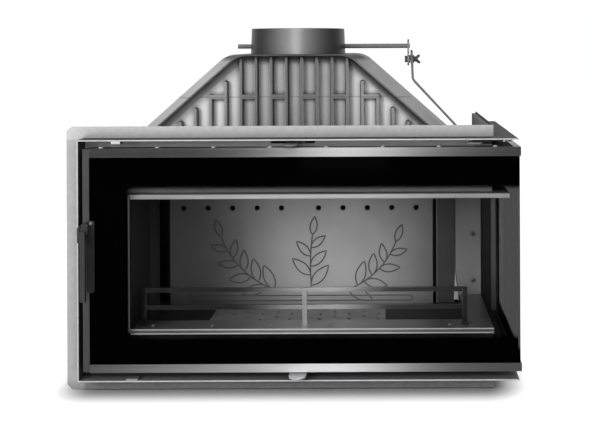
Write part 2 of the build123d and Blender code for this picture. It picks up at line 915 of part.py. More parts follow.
# ---------------------------------------------------------------- air slides
def air_slide(x, z, tongue_width):
    """Slide behind its slot: an upright plate and a flat tongue with a round end in front of the door."""
    plate_y = (front_inner + slide_gap, front_inner + slide_gap + slide_sheet)
    middle = z + slot_height / 2
    half = slide_plate_height / 2
    plate = block((x - slide_half_length, x + slide_half_length), plate_y, (middle - half, middle + half))
    sheet_z = (middle - slide_sheet / 2, middle + slide_sheet / 2)
    neck = block((x - slide_neck / 2, x + slide_neck / 2), (body_front - wall, plate_y[1]), sheet_z)
    radius = tongue_width / 2
    tip_y = frame_front - slide_tongue_reach + radius
    tongue = block((x - radius, x + radius), (tip_y, body_front - wall), sheet_z)
    tip = bar((x, tip_y, sheet_z[0]), (0, 0, 1), slide_sheet, radius)
    return plate + neck + tongue + tip


# ---------------------------------------------------------------- mounting frame
def cut_corner(x, z, toward_x, toward_z):
    """Wedge that takes the frame's outer corner off."""
    size = frame_corner_cut
    points = [(x, z), (x + toward_x * size, z), (x, z + toward_z * size)]
    return front_prism(points, (frame_face, body_front))


def frame_top():
    """Top angle profile, front and right side, with its short lug."""
    high = frame_top_z + frame_top_flange
    left = frame_left_x - frame_left_flange
    flat = corner_strip(
        frame_left_x,
        frame_out,
        frame_front,
        frame_back,
        frame_reveal,
        frame_side_reveal + frame_sheet,
        (frame_top_z, frame_top_z + frame_sheet),
    )
    upright = corner_strip(
        left, frame_right_x, frame_face, frame_back, frame_sheet, frame_sheet, (frame_top_z, high)
    )
    lug_x = frame_left_x + lug_inset
    lug = block(
        (lug_x - lug_width / 2, lug_x + lug_width / 2),
        (frame_front, frame_front + lug_depth),
        (frame_top_z - lug_drop, frame_top_z),
    )
    return flat + upright + lug - cut_corner(left, high, 1, -1)


def frame_bottom():
    """Bottom angle profile, front and right side, with its short lug."""
    flat_z = (frame_bottom_z - frame_sheet, frame_bottom_z)
    flat = corner_strip(
        frame_left_x,
        frame_out,
        frame_front,
        frame_back,
        frame_reveal,
        frame_side_reveal + frame_sheet,
        flat_z,
    )
    upright = corner_strip(
        frame_left_x,
        frame_right_x,
        frame_face,
        frame_back,
        frame_sheet,
        frame_sheet,
        (frame_floor_gap, frame_bottom_z),
    )
    lug_left = frame_left_x + low_lug_inset
    lug = block(
        (lug_left, lug_left + low_lug_width),
        (frame_front - low_lug_reach, frame_front + lug_depth),
        (frame_bottom_z, frame_bottom_z + low_lug_height),
    )
    pin_hole = bar((hinge_x, hinge_y, 0), (0, 0, 1), 2 * frame_bottom_z, hinge_pin_radius + running)
    return flat + upright + lug - pin_hole


def frame_left():
    """Left angle profile: reveal along the door's edge and the strip beside it."""
    left = frame_left_x - frame_left_flange
    reveal = block(
        (frame_left_x, frame_left_x + frame_sheet), (frame_front, frame_face), (frame_bottom_z, frame_top_z)
    )
    strip = block((left, frame_left_x), (frame_face, body_front), (frame_floor_gap, frame_top_z))
    root = block(
        (frame_left_x, frame_left_x + frame_sheet), (frame_face, body_front), (frame_bottom_z, frame_top_z)
    )
    return reveal + strip + root - cut_corner(left, frame_floor_gap, 1, 1)


def frame_rear():
    """Upright angle profile behind the side leaf."""
    z = (frame_bottom_z, frame_top_z)
    reveal = block((frame_right_x, frame_out), (frame_back - frame_sheet, frame_back), z)
    root = block((body_half_width, frame_right_x), (hinge_y, frame_back), z)
    return reveal + root


def frame_corner_bolt():
    """Round head under the frame's right front corner."""
    start = (frame_right_x + corner_bolt_side, frame_front + corner_bolt_inset, frame_top_z)
    return bar(start, (0, 0, -1), corner_bolt_head, corner_bolt_radius)


def latch_keeper():
    """Stud on the left reveal that the latch tail passes under."""
    z = handle_axis_z + handle_tail_height / 2 + keeper_gap + keeper_radius
    length = 2 * handle_plate
    return bar((-body_half_width, keeper_y, z), (1, 0, 0), length, keeper_radius)


# ---------------------------------------------------------------- door
def rail_section(z, z_cover):
    """Front part and side part of one rail: hollow, with a step behind the glass."""
    front = block((door_left, door_out), (door_front, door_leaf_back), z)
    side = block((side_leaf_in, door_out), (door_leaf_back, door_back), z)
    step_front = block((door_left + rail_sheet, door_out), (door_front, gasket_back), z_cover)
    step_back = door_back - rear_stile_depth + gasket_width
    step_side = block((side_gasket_in, door_out), (door_front, step_back), z_cover)
    front_room = block(
        (door_left + stile_width, side_leaf_in),
        (gasket_back + rail_sheet, door_leaf_back - rail_sheet),
        z_cover,
    )
    side_room = block(
        (side_leaf_in + rail_sheet, side_gasket_in - rail_sheet),
        (door_leaf_back, door_back - rear_stile_depth),
        z_cover,
    )
    return front - step_front - step_side - front_room, side - step_side - side_room


def pin_bore(radius):
    """Upright hole on the hinge axis."""
    return bar((hinge_x, hinge_y, 0), (0, 0, 1), 2 * door_top, radius)


def door_rails():
    """Four rail pieces round the top and the bottom of the leaf."""
    top_low = door_top - top_rail_height
    bottom_high = door_bottom + bottom_rail_height
    top_front, top_side = rail_section((top_low, door_top), (top_low, glass_high + running))
    low_front, low_side = rail_section((door_bottom, bottom_high), (glass_low - running, bottom_high))
    bore = pin_bore(hinge_pin_radius)
    return {
        "door_top_rail_front": top_front,
        "door_top_rail_side": top_side - bore,
        "door_bottom_rail_front": low_front,
        "door_bottom_rail_side": low_side - bore,
    }


def stile_span():
    return door_bottom + bottom_rail_height, door_top - top_rail_height


def door_left_stile():
    """Left upright with a step behind the glass."""
    z = stile_span()
    right = door_left + stile_width + gasket_width
    outer = block((door_left, right), (door_front, door_leaf_back), z)
    step = block((door_left + rail_sheet, right), (door_front, gasket_back), z)
    room_y = (gasket_back + rail_sheet, door_leaf_back - rail_sheet)
    return outer - step - block((door_left + rail_sheet, right), room_y, z)


def door_rear_stile():
    """Hinge upright at the end of the side leaf."""
    z = stile_span()
    front = door_back - rear_stile_depth
    outer = block((side_leaf_in, door_out), (front, door_back), z)
    step = block((side_gasket_in, door_out), (front, front + gasket_width), z)
    return outer - step - pin_bore(hinge_pin_radius)


def front_glass():
    return block(
        (door_left + rail_sheet + running, glass_out - glass_thickness - running),
        (door_front, glass_back),
        (glass_low, glass_high),
    )


def side_glass():
    back = door_back - rear_stile_depth + gasket_width - running
    return block((glass_out - glass_thickness, glass_out), (door_front, back), (glass_low, glass_high))


def glass_gasket():
    """Flat strip between the glass and the leaf, along the top, the bottom and both uprights."""
    shape = Part()
    left = door_left + rail_sheet + running
    side_x = (side_gasket_in, glass_out - glass_thickness)
    back = door_back - rear_stile_depth + gasket_width - running
    for z in ((glass_low, glass_low + gasket_width), (glass_high - gasket_width, glass_high)):
        shape += block((left, side_x[1]), (glass_back, gasket_back), z)
        shape += block(side_x, (gasket_back, back), z)
    tall = (glass_low, glass_high)
    shape += block((left, left + gasket_width), (glass_back, gasket_back), tall)
    shape += block(side_x, (back - gasket_width + running, back), tall)
    return shape


def trim(face_z, flange_z):
    """Brushed angle strip round one rail, right of the left trim: face in front and side, and a flange."""
    left = door_left + stile_width
    face = corner_strip(left, trim_out, trim_front, door_back, trim_sheet, trim_sheet, face_z)
    flange = corner_strip(left, trim_out, trim_front, door_back, trim_flange, trim_flange, flange_z)
    return face + flange


def top_trim():
    return trim((door_top - top_rail_height, door_top), (door_top, door_top + trim_sheet))


def bottom_trim():
    return trim((door_bottom, door_bottom + bottom_rail_height), (door_bottom - trim_sheet, door_bottom))


def left_trim():
    return block((door_left, door_left + stile_width), (trim_front, door_front), (door_bottom, door_top))


def trim_screw_places():
    """Places of the screws along the front and back along the side."""
    inset = trim_flange / 2 - trim_sheet
    places = evenly(door_left + trim_screw_left_inset, door_out - trim_screw_right_inset, trim_screw_count)
    pitch = places[1] - places[0]
    front = [(x, door_front + inset) for x in places]
    side = [(door_out - inset, door_front + (i + 1) * pitch) for i in range(side_screw_count)]
    return front + side


def trim_screws():
    top = door_top + trim_sheet
    width = 2 * trim_screw_radius
    heads = [flats_bar((x, y, top), (0, 0, 1), trim_screw_head, width) for x, y in trim_screw_places()]
    return Compound(children=heads)


def door_seal():
    """Rope round the back of the leaf, pressed lightly on the castings."""
    left = door_left + seal_inset
    front_y = (door_leaf_back, body_front - seal_gap)
    side_x = (body_half_width + seal_gap, side_leaf_in)
    back = hinge_y - hinge_pin_radius - seal_inset
    low = (door_bottom + seal_inset, door_bottom + seal_inset + seal_width)
    high = (door_top - seal_inset - seal_width, door_top - seal_inset)
    shape = Part()
    for z in (low, high):
        shape += block((left, side_leaf_in), front_y, z)
        shape += block(side_x, (front_y[1], back), z)
    shape += block((left, left + seal_width), front_y, (low[0], high[1]))
    shape += block(side_x, (back - seal_width, back), (low[0], high[1]))
    return shape


# ---------------------------------------------------------------- hinge
def upper_hinge_block():
    """Block under the frame's top side flange that holds the upper pin."""
    low = door_top + trim_sheet + hinge_play
    block_x = (hinge_x - hinge_block_half, hinge_x + hinge_block_half)
    block_y = (hinge_y - hinge_block_half, hinge_y + hinge_block_half)
    return block(block_x, block_y, (low, frame_top_z)) - pin_bore(hinge_pin_radius + running)


def lower_hinge_block():
    """Block on the frame's bottom side flange, with the bearing ring that carries the door."""
    height = (door_bottom - frame_bottom_z) / 2
    block_x = (hinge_x - hinge_block_half, hinge_x + hinge_block_half)
    block_y = (hinge_y - hinge_block_half, hinge_y + hinge_block_half)
    plate = block(block_x, block_y, (frame_bottom_z, frame_bottom_z + height))
    ring_height = door_bottom - frame_bottom_z - seat
    ring = flats_bar((hinge_x, hinge_y, frame_bottom_z), (0, 0, 1), ring_height, 2 * hinge_washer_radius)
    return plate + ring - pin_bore(hinge_pin_radius + running)


def hinge_pins():
    """Upper and lower pin, seated in the rear upright's ends."""
    starts = [door_bottom - hinge_pin_reach, door_top - hinge_pin_seat]
    length = hinge_pin_reach + hinge_pin_seat
    pins = [bar((hinge_x, hinge_y, z), (0, 0, 1), length, hinge_pin_radius) for z in starts]
    return Compound(children=pins)


# ---------------------------------------------------------------- handle
def handle_block():
    """Block on the left trim that holds the handle's pin."""
    half = handle_block_height / 2
    body = block(
        (door_left, door_left + stile_width),
        (trim_front - handle_block_reach, trim_front),
        (handle_axis_z - half, handle_axis_z + half),
    )
    return body - handle_pin()


def handle_pin():
    left = handle_plate_right - handle_plate - handle_plate / 2
    right = door_left + stile_width
    return bar((left, handle_axis_y, handle_axis_z), (1, 0, 0), right - left, handle_pin_radius)


def handle_lever():
    """Hub with the latch tail in the gap beside the door and the arm that carries the grip."""
    plate_x = (handle_plate_right - handle_plate, handle_plate_right)
    hub = bar((plate_x[0], handle_axis_y, handle_axis_z), (1, 0, 0), handle_plate, handle_hub_radius)
    half = handle_tail_height / 2
    tail = block(plate_x, (handle_axis_y, handle_tail_end), (handle_axis_z - half, handle_axis_z + half))
    cross_top = handle_axis_z - crosspiece_drop
    cross_z = (cross_top - crosspiece_height, cross_top)
    arm_y = (handle_axis_y - crosspiece_depth, handle_axis_y)
    arm = block(plate_x, arm_y, (cross_z[0], handle_axis_z))
    cross = block((plate_x[0], grip_right), arm_y, cross_z)
    reach = block((grip_left, grip_right), (grip_y[1], arm_y[0]), cross_z)
    bore = bar(
        (plate_x[0], handle_axis_y, handle_axis_z), (1, 0, 0), handle_plate, handle_pin_radius + running
    )
    return hub + tail + arm + cross + reach - bore


def handle_grip():
    """Upright bar in front of the lever's cross piece."""
    top = handle_axis_z - grip_rise
    grip = block((grip_left, grip_right), grip_y, (top - grip_length, top))
    return fillet(grip.edges().filter_by(Axis.Z), grip_depth / 4)


def hood_bolts():
    """Hexagon heads on the hood's foot."""
    z = top_plate_top + hood_foot_thickness
    places = [(x, y, z) for x, y in hood_bolt_places()]
    heads = [flats_bar(place, (0, 0, 1), hood_bolt_head, hood_bolt_width, 6) for place in places]
    return Compound(children=heads)


# ---------------------------------------------------------------- all nodes
parts["base_casting"] = base_casting()
parts["left_casting"] = left_casting()
parts["rear_casting"] = rear_casting()
parts["right_column"] = right_column()
parts["front_lintel"] = front_lintel()
parts["air_box"] = air_box()
parts["side_lintel"] = side_lintel()
parts["top_plate"] = top_plate()
parts["hood_lower"], parts["hood_upper"] = hood_castings()
parts["hood_bolts"] = hood_bolts()
parts["flue_collar"] = flue_collar()
parts["damper_shaft"] = damper_shaft()
parts["damper_disc"] = damper_disc()
parts["damper_lever"] = damper_lever()
parts["clamp_bolt"] = clamp_bolt()
parts["clamp_washers"] = clamp_washers()
parts["wing_nut"] = wing_nut()
parts["damper_pull_rod"] = pull_rod()
parts["threshold_plate"] = threshold_plate()
parts["upper_lip"] = upper_lip()
parts["left_liner_front"] = left_liner_front()
parts["left_liner_rear"] = left_liner_rear()
parts["back_plate"] = back_plate()
parts["right_liner"] = right_liner()
parts["baffle_bar"] = baffle_bar()
parts["smoke_baffle"] = smoke_baffle()
parts["grate"] = grate()
parts["ash_pan"] = ash_pan()
parts["log_guard"] = log_guard()
parts["liner_screws"] = liner_screws()
parts["primary_air_slide"] = air_slide(low_slot_x, low_slot_z, low_tongue_width)
parts["secondary_air_slide"] = air_slide(high_slot_x, high_slot_z, high_tongue_width)
parts["frame_top"] = frame_top()
parts["frame_bottom"] = frame_bottom()
parts["frame_left"] = frame_left()
parts["frame_rear"] = frame_rear()
parts["frame_corner_bolt"] = frame_corner_bolt()
parts["latch_keeper"] = latch_keeper()
parts["upper_hinge_block"] = upper_hinge_block()
parts["lower_hinge_block"] = lower_hinge_block()
parts.update(door_rails())
parts["door_left_stile"] = door_left_stile()
parts["door_rear_stile"] = door_rear_stile()
parts["front_glass"] = front_glass()
parts["side_glass"] = side_glass()
parts["glass_gasket"] = glass_gasket()
parts["top_trim"] = top_trim()
parts["bottom_trim"] = bottom_trim()
parts["left_trim"] = left_trim()
parts["trim_screws"] = trim_screws()
parts["door_seal"] = door_seal()
parts["hinge_pins"] = hinge_pins()
parts["handle_block"] = handle_block()
parts["handle_pin"] = handle_pin()
parts["handle_lever"] = handle_lever()
parts["handle_grip"] = handle_grip()

os.makedirs("parts", exist_ok=True)
for node, shape in parts.items():
    export_step(shape, f"parts/{node}.step")
print(len(parts), "nodes written")
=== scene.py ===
import math

import bmesh
import bpy
import numpy as np
from mathutils import Matrix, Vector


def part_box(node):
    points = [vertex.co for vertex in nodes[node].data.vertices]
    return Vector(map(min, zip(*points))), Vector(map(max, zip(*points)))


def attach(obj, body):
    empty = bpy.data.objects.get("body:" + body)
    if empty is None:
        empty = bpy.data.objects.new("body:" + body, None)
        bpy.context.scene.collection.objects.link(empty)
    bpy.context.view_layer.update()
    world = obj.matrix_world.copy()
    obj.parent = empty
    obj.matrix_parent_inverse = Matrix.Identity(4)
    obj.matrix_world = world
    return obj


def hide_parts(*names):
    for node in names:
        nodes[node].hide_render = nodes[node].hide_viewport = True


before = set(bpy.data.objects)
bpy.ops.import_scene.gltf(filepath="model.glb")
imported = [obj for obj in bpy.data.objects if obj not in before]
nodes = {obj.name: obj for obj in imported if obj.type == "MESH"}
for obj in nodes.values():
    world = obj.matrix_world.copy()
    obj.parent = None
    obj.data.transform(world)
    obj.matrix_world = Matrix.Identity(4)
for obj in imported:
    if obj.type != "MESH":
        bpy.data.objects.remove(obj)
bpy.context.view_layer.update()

# ---------------------------------------------------------------- room, floor and lamps
# A level view from the front, a little right of the middle, at the height of the hood. The floor is pale
# and the room white. Five soft boxes light the insert: a large one on the left, a narrow one in front, and
# weak ones above it, in front on the right, and beside the side glass.
eye = (0.195, -1.982, 0.659)
yaw = -0.25
view = bpy.data.objects.new("view", bpy.data.cameras.new("view"))
view.data.sensor_width = 36.0
view.data.lens = 56.9
view.data.shift_x = -0.1621
view.data.shift_y = -0.2997
view.matrix_world = (
    Matrix.Translation(eye)
    @ Matrix.Rotation(math.radians(90), 4, "X")
    @ Matrix.Rotation(math.radians(yaw), 4, "Z")
)
bpy.context.scene.collection.objects.link(view)
bpy.context.scene.camera = view
bpy.context.scene.view_settings.view_transform = "Standard"


def tree_of(owner):
    """Empties the node tree of a material or a world, and returns what adds a node and what links sockets."""
    owner.use_nodes = True
    tree = owner.node_tree
    tree.nodes.clear()

    def add(kind, **settings):
        node = tree.nodes.new(kind)
        for key, value in settings.items():
            setattr(node, key, value)
        return node

    return add, tree.links.new


studio_glow = 0.13
backdrop_start, backdrop_full = 0.3, 0.8
room = bpy.data.worlds.new("room")
bpy.context.scene.world = room
add, link = tree_of(room)
rays = add("ShaderNodeLightPath")
seen = add("ShaderNodeBackground")
seen.inputs["Color"].default_value = (1, 1, 1, 1)
glow = add("ShaderNodeBackground")
glow.inputs["Color"].default_value = (0.9, 0.9, 0.9, 1)
glow.inputs["Strength"].default_value = studio_glow
# metal mirrors the white backdrop behind the insert, and the dim studio in front of it
sky = add("ShaderNodeTexCoord")
bearing = add("ShaderNodeSeparateXYZ")
backdrop = add("ShaderNodeMapRange", interpolation_type="SMOOTHSTEP")
backdrop.inputs["From Min"].default_value = backdrop_start
backdrop.inputs["From Max"].default_value = backdrop_full
mirrored = add("ShaderNodeMath", operation="MULTIPLY")
either = add("ShaderNodeMath", operation="MAXIMUM")
any_ray = add("ShaderNodeMath", operation="MAXIMUM")
choice = add("ShaderNodeMixShader")
out = add("ShaderNodeOutputWorld")
link(sky.outputs["Generated"], bearing.inputs[0])
link(bearing.outputs["Y"], backdrop.inputs["Value"])
link(backdrop.outputs[0], mirrored.inputs[0])
link(rays.outputs["Is Glossy Ray"], mirrored.inputs[1])
link(rays.outputs["Is Camera Ray"], either.inputs[0])
link(rays.outputs["Is Transmission Ray"], either.inputs[1])
link(either.outputs[0], any_ray.inputs[0])
link(mirrored.outputs[0], any_ray.inputs[1])
link(any_ray.outputs[0], choice.inputs[0])
link(glow.outputs[0], choice.inputs[1])
link(seen.outputs[0], choice.inputs[2])
link(choice.outputs[0], out.inputs[0])


def soft_box(name, place, aim, size, power):
    """Rectangular soft box at a place, turned towards a point."""
    lamp = bpy.data.lights.new(name, "AREA")
    lamp.shape = "RECTANGLE"
    lamp.size, lamp.size_y = size
    lamp.energy = power
    box = bpy.data.objects.new(name, lamp)
    direction = np.array(aim, float) - np.array(place, float)
    forward = direction / np.linalg.norm(direction)
    right = np.cross(forward, (0, 0, 1.0))
    right /= np.linalg.norm(right)
    up = np.cross(right, forward)
    box.matrix_world = Matrix(
        [[right[i], up[i], -forward[i], place[i]] for i in range(3)] + [[0, 0, 0, 1]]
    )
    box.visible_camera = False
    bpy.context.scene.collection.objects.link(box)
    return box


# only the narrow box in front and the one above are mirrored, as the streaks on the metal
soft_box("left_box", (-1.9, -2.7, 1.5), (0.0, -0.1, 0.35), (1.3, 1.5), 66).visible_glossy = False
soft_box("front_box", (-0.04, -3.2, 1.0), (0.05, 0, 0.35), (0.45, 2.6), 18)
soft_box("top_box", (-0.3, -0.5, 2.6), (0, 0, 0.5), (2.0, 1.2), 5)
soft_box("right_box", (1.9, -2.6, 1.5), (0.0, -0.1, 0.4), (0.9, 1.2), 13).visible_glossy = False
soft_box("side_box", (2.6, 0.9, 1.1), (0.3, 0, 0.3), (1.0, 1.4), 6).visible_glossy = False

# painted shadow: the floor's white glow, seen by the camera alone, is left out near the insert's footprint
# and comes in between these two distances, so the floor stays grey round the foot, where the lamps' real
# shadow shows too
footprint_middle = (0.0, -0.03, 0.0)
footprint_half = (0.372, 0.165, 0.0)
shadow_fade_start, shadow_fade_end = 0.012, 0.105
floor_half = 9
ground = bpy.data.materials.new("pale_floor")
add, link = tree_of(ground)
place = add("ShaderNodeTexCoord")
# distance outside the footprint: length of max(|p - middle| - half size, 0)
middle = add("ShaderNodeVectorMath", operation="SUBTRACT")
middle.inputs[1].default_value = footprint_middle
across = add("ShaderNodeVectorMath", operation="ABSOLUTE")
past = add("ShaderNodeVectorMath", operation="SUBTRACT")
past.inputs[1].default_value = footprint_half
outside = add("ShaderNodeVectorMath", operation="MAXIMUM")
outside.inputs[1].default_value = (0.0, 0.0, 0.0)
length = add("ShaderNodeVectorMath", operation="LENGTH")
link(place.outputs["Object"], middle.inputs[0])
link(middle.outputs[0], across.inputs[0])
link(across.outputs[0], past.inputs[0])
link(past.outputs[0], outside.inputs[0])
link(outside.outputs[0], length.inputs[0])
# painted shadow round the insert's foot
fade = add("ShaderNodeMapRange", interpolation_type="SMOOTHSTEP")
fade.inputs["From Min"].default_value = shadow_fade_start
fade.inputs["From Max"].default_value = shadow_fade_end
link(length.outputs["Value"], fade.inputs["Value"])
rays = add("ShaderNodeLightPath")
seen_share = add("ShaderNodeMath", operation="MULTIPLY")
link(rays.outputs["Is Camera Ray"], seen_share.inputs[0])
link(fade.outputs[0], seen_share.inputs[1])
paint = add("ShaderNodeBsdfPrincipled")
paint.inputs["Base Color"].default_value = (0.5, 0.5, 0.5, 1)
paint.inputs["Roughness"].default_value = 0.9
lift = add("ShaderNodeEmission")
lift.inputs["Color"].default_value = (1, 1, 1, 1)
link(seen_share.outputs[0], lift.inputs["Strength"])
both = add("ShaderNodeAddShader")
out = add("ShaderNodeOutputMaterial")
link(lift.outputs[0], both.inputs[0])
link(paint.outputs[0], both.inputs[1])
link(both.outputs[0], out.inputs["Surface"])
floor_mesh = bpy.data.meshes.new("floor")
floor_corners = [(x * floor_half, y * floor_half, 0) for x, y in ((-1, -1), (1, -1), (1, 1), (-1, 1))]
floor_mesh.from_pydata(floor_corners, [], [(0, 1, 2, 3)])
floor_mesh.materials.append(ground)
floor = bpy.data.objects.new("floor", floor_mesh)
bpy.context.scene.collection.objects.link(floor)


# ---------------------------------------------------------------- smoke hood
# Two sand castings in grey iron, sprayed with silver-grey heat paint. The skin keeps the grain of the
# sand, and highlights are painted on the edges of rim and ribs.
def skin(name, dark, light, rough, metal=0.0, cloud=(18, 1, 1), grain=(900, 1, 1), bump=0.1, depth=0.0002,
         edge=None, edge_width=0.0012, hollow_shade=None, hollow_shade_reach=0.03, brushed=0.0, spec=0.5, painted_light_x=None,
         facing_light=None, crest_shade=None, seam=None):
    """Paint or metal whose colour drifts between two greys in clouds, with a fine bumpy grain.

    rough holds the clouds' two roughnesses. cloud and grain are (features per metre, stretch across X,
    stretch across Z). Each of these changes the colour where it is given:
    - edge is the grey painted on edges, found from how the bevelled normal leaves the true one: a painted
      highlight where it is paler than the surface, and painted shade where it is darker.
    - hollow_shade is the share of painted shade deep in corners and recesses within hollow_shade_reach, where
      no edge highlight is painted either.
    - painted_light_x is (x, near, far, share), painted light and shade along X: one within near of that X,
      and share beyond far.
    - facing_light has the shares, painted light and shade, of faces that look away from X = 0, towards it,
      up, down, and towards it from the right.
    - crest_shade is (behind, front, share): painted shade, where faces that look straight to the front fall
      from one to share between those two Y; no edge highlight is painted in the front half of the way.
    - seam is (z, reach, share), for what lies within reach of that Z.
    """
    material = bpy.data.materials.new(name)
    add, link = tree_of(material)
    place = add("ShaderNodeTexCoord")

    def noise(scale, detail):
        """Noise on the object's own coordinates."""
        turn = add("ShaderNodeMapping")
        turn.inputs["Scale"].default_value = (scale[0] * scale[1], scale[0], scale[0] * scale[2])
        link(place.outputs["Object"], turn.inputs["Vector"])
        texture = add("ShaderNodeTexNoise")
        texture.inputs["Scale"].default_value = 1.0
        texture.inputs["Detail"].default_value = detail
        link(turn.outputs[0], texture.inputs["Vector"])
        return texture.outputs["Fac"]

    def worked(operation, first, second=None):
        """Result of a math node on a socket and a second socket or number."""
        step = add("ShaderNodeMath", operation=operation)
        link(first, step.inputs[0])
        if isinstance(second, (int, float)):
            step.inputs[1].default_value = second
        elif second is not None:
            link(second, step.inputs[1])
        return step.outputs[0]

    def ranged(value, low, high, at_low, at_high, kind="LINEAR"):
        """Share that goes from at_low to at_high while the value goes from low to high."""
        share = add("ShaderNodeMapRange", interpolation_type=kind)
        share.inputs["From Min"].default_value = low
        share.inputs["From Max"].default_value = high
        share.inputs["To Min"].default_value = at_low
        share.inputs["To Max"].default_value = at_high
        link(value, share.inputs["Value"])
        return share.outputs[0]

    def scaled(factor):
        """The colour so far, multiplied by a factor."""
        share = add("ShaderNodeVectorMath", operation="SCALE")
        link(colour, share.inputs[0])
        link(factor, share.inputs["Scale"])
        return share.outputs[0]

    # the clouds carry a third of the grain, and the two greys lie at the ends of their usual values
    clouds = noise(cloud, 5.0)
    fine = noise(grain, 2.0)
    blend = add("ShaderNodeMath", operation="MULTIPLY_ADD")
    blend.inputs[1].default_value = 0.35
    link(fine, blend.inputs[0])
    link(clouds, blend.inputs[2])
    ramp = add("ShaderNodeValToRGB")
    for stop, at, tone in zip(ramp.color_ramp.elements, (0.5, 0.85), (dark, light)):
        stop.position = at
        stop.color = (*tone, 1)
    link(blend.outputs[0], ramp.inputs[0])
    colour = ramp.outputs[0]

    if painted_light_x or facing_light or crest_shade or seam:
        position = add("ShaderNodeSeparateXYZ")
        link(place.outputs["Object"], position.inputs[0])
    if facing_light or crest_shade or edge:
        truth = add("ShaderNodeNewGeometry")
    if facing_light or crest_shade:
        facing = add("ShaderNodeSeparateXYZ")
        link(truth.outputs["Normal"], facing.inputs[0])
    # painted light and shade: the colour changes with the distance from one X, as pools, bands and highlights
    if painted_light_x:
        middle_x, near, far, far_share = painted_light_x
        away = worked("ABSOLUTE", worked("SUBTRACT", position.outputs["X"], middle_x))
        colour = scaled(ranged(away, near, far, 1.0, far_share, "SMOOTHSTEP"))
    # painted light and shade by which way each face looks
    if facing_light:
        lean_start, lean_full = 0.3, 0.8
        outward = worked("MULTIPLY", worked("SIGN", position.outputs["X"]), facing.outputs["X"])
        upward = facing.outputs["Z"]
        for value, side, share in zip((outward, outward, upward, upward), (1, -1, 1, -1), facing_light):
            colour = scaled(ranged(value, lean_start * side, lean_full * side, 1.0, share))
        # the fifth share, on the right half alone, and then no brighter than white paint
        from_right = worked("MULTIPLY", ranged(position.outputs["X"], 0.0, 0.001, 0.0, 1.0), outward)
        bright = add("ShaderNodeVectorMath", operation="MINIMUM")
        link(scaled(ranged(from_right, -0.03, -0.55, 1.0, facing_light[4])), bright.inputs[0])
        bright.inputs[1].default_value = (0.92, 0.92, 0.93)
        colour = bright.outputs[0]
    # painted shade in corners and recesses
    if hollow_shade is not None:
        shelter = add("ShaderNodeAmbientOcclusion", samples=6)
        shelter.inputs["Distance"].default_value = hollow_shade_reach
    # painted shade on front faces that stand forward, such as the ribs' crests
    if crest_shade:
        behind, front, front_share = crest_shade
        ahead = ranged(position.outputs["Y"], front, behind, front_share, 1.0)
        turned_off = ranged(facing.outputs["Y"], -0.9, -0.7, 0.0, 1.0)
        colour = scaled(worked("MAXIMUM", ahead, turned_off))
    # painted highlight on edges, and painted shade where the edge grey is darker than the surface
    if edge:
        bevel = add("ShaderNodeBevel", samples=6)
        bevel.inputs["Radius"].default_value = edge_width
        dot = add("ShaderNodeVectorMath", operation="DOT_PRODUCT")
        link(bevel.outputs[0], dot.inputs[0])
        link(truth.outputs["Normal"], dot.inputs[1])
        edge_light = ranged(dot.outputs["Value"], 0.995, 0.85, 0.0, 1.0)
        if hollow_shade is not None:
            edge_light = worked("MULTIPLY", edge_light, ranged(shelter.outputs["AO"], 0.7, 0.95, 0.0, 1.0))
        if crest_shade:
            edge_light = worked("MULTIPLY", edge_light,
                          ranged(position.outputs["Y"], front, (front + behind) / 2, 0.0, 1.0))
        mix = add("ShaderNodeMix", data_type="RGBA")
        mix.inputs[7].default_value = (*edge, 1)
        link(edge_light, mix.inputs[0])
        link(colour, mix.inputs[6])
        colour = mix.outputs[2]
    # painted shade deep in corners and recesses
    if hollow_shade is not None:
        colour = scaled(ranged(shelter.outputs["AO"], 0.35, 0.95, hollow_shade, 1.0))
    if seam:
        seam_z, reach, seam_share = seam
        away = worked("ABSOLUTE", worked("SUBTRACT", position.outputs["Z"], seam_z))
        colour = scaled(ranged(away, 0.8 * reach, 1.2 * reach, seam_share, 1.0))

    shader = add("ShaderNodeBsdfPrincipled")
    shader.inputs["Metallic"].default_value = metal
    shader.inputs["Specular IOR Level"].default_value = spec
    link(colour, shader.inputs["Base Color"])
    if brushed:
        lines = add("ShaderNodeTangent", direction_type="RADIAL", axis="Z")
        shader.inputs["Anisotropic"].default_value = brushed
        shader.inputs["Anisotropic Rotation"].default_value = 0.25
        link(lines.outputs[0], shader.inputs["Tangent"])
    link(ranged(clouds, 0.0, 1.0, *rough), shader.inputs["Roughness"])
    relief = add("ShaderNodeBump")
    relief.inputs["Strength"].default_value = bump
    relief.inputs["Distance"].default_value = depth
    link(fine, relief.inputs["Height"])
    if edge:
        link(bevel.outputs[0], relief.inputs["Normal"])
    link(relief.outputs[0], shader.inputs["Normal"])
    out = add("ShaderNodeOutputMaterial")
    link(shader.outputs[0], out.inputs["Surface"])
    return material


def grey(value):
    """Neutral grey with a trace of blue."""
    return (value, value, value * 1.01)


def coat(material, *names):
    """Gives CAD nodes their finish."""
    for name in names:
        for slot in nodes[name].material_slots:
            slot.material = material


hood_seam = 0.552
# painted light: the sides paler and the middle darker, faces paler or darker by where they look, painted
# shade in the recess and on the ribs' crests, and painted highlights on edges; the dark line at the seam is
# the joint
silver_paint = skin(
    "silver_heat_paint", grey(0.44), grey(0.5), (0.4, 0.5), metal=0.08, cloud=(14, 1, 1), grain=(1400, 1, 1),
    bump=0.2, edge=grey(0.95), hollow_shade=0.2, hollow_shade_reach=0.01, painted_light_x=(0.0, 0.08, 0.17, 2.25),
    facing_light=(2.2, 0.12, 0.05, 0.1, 0.3), crest_shade=(-0.083, -0.1, 0.2), seam=(hood_seam, 0.001, 0.6),
)
coat(silver_paint, "hood_lower", "hood_upper")

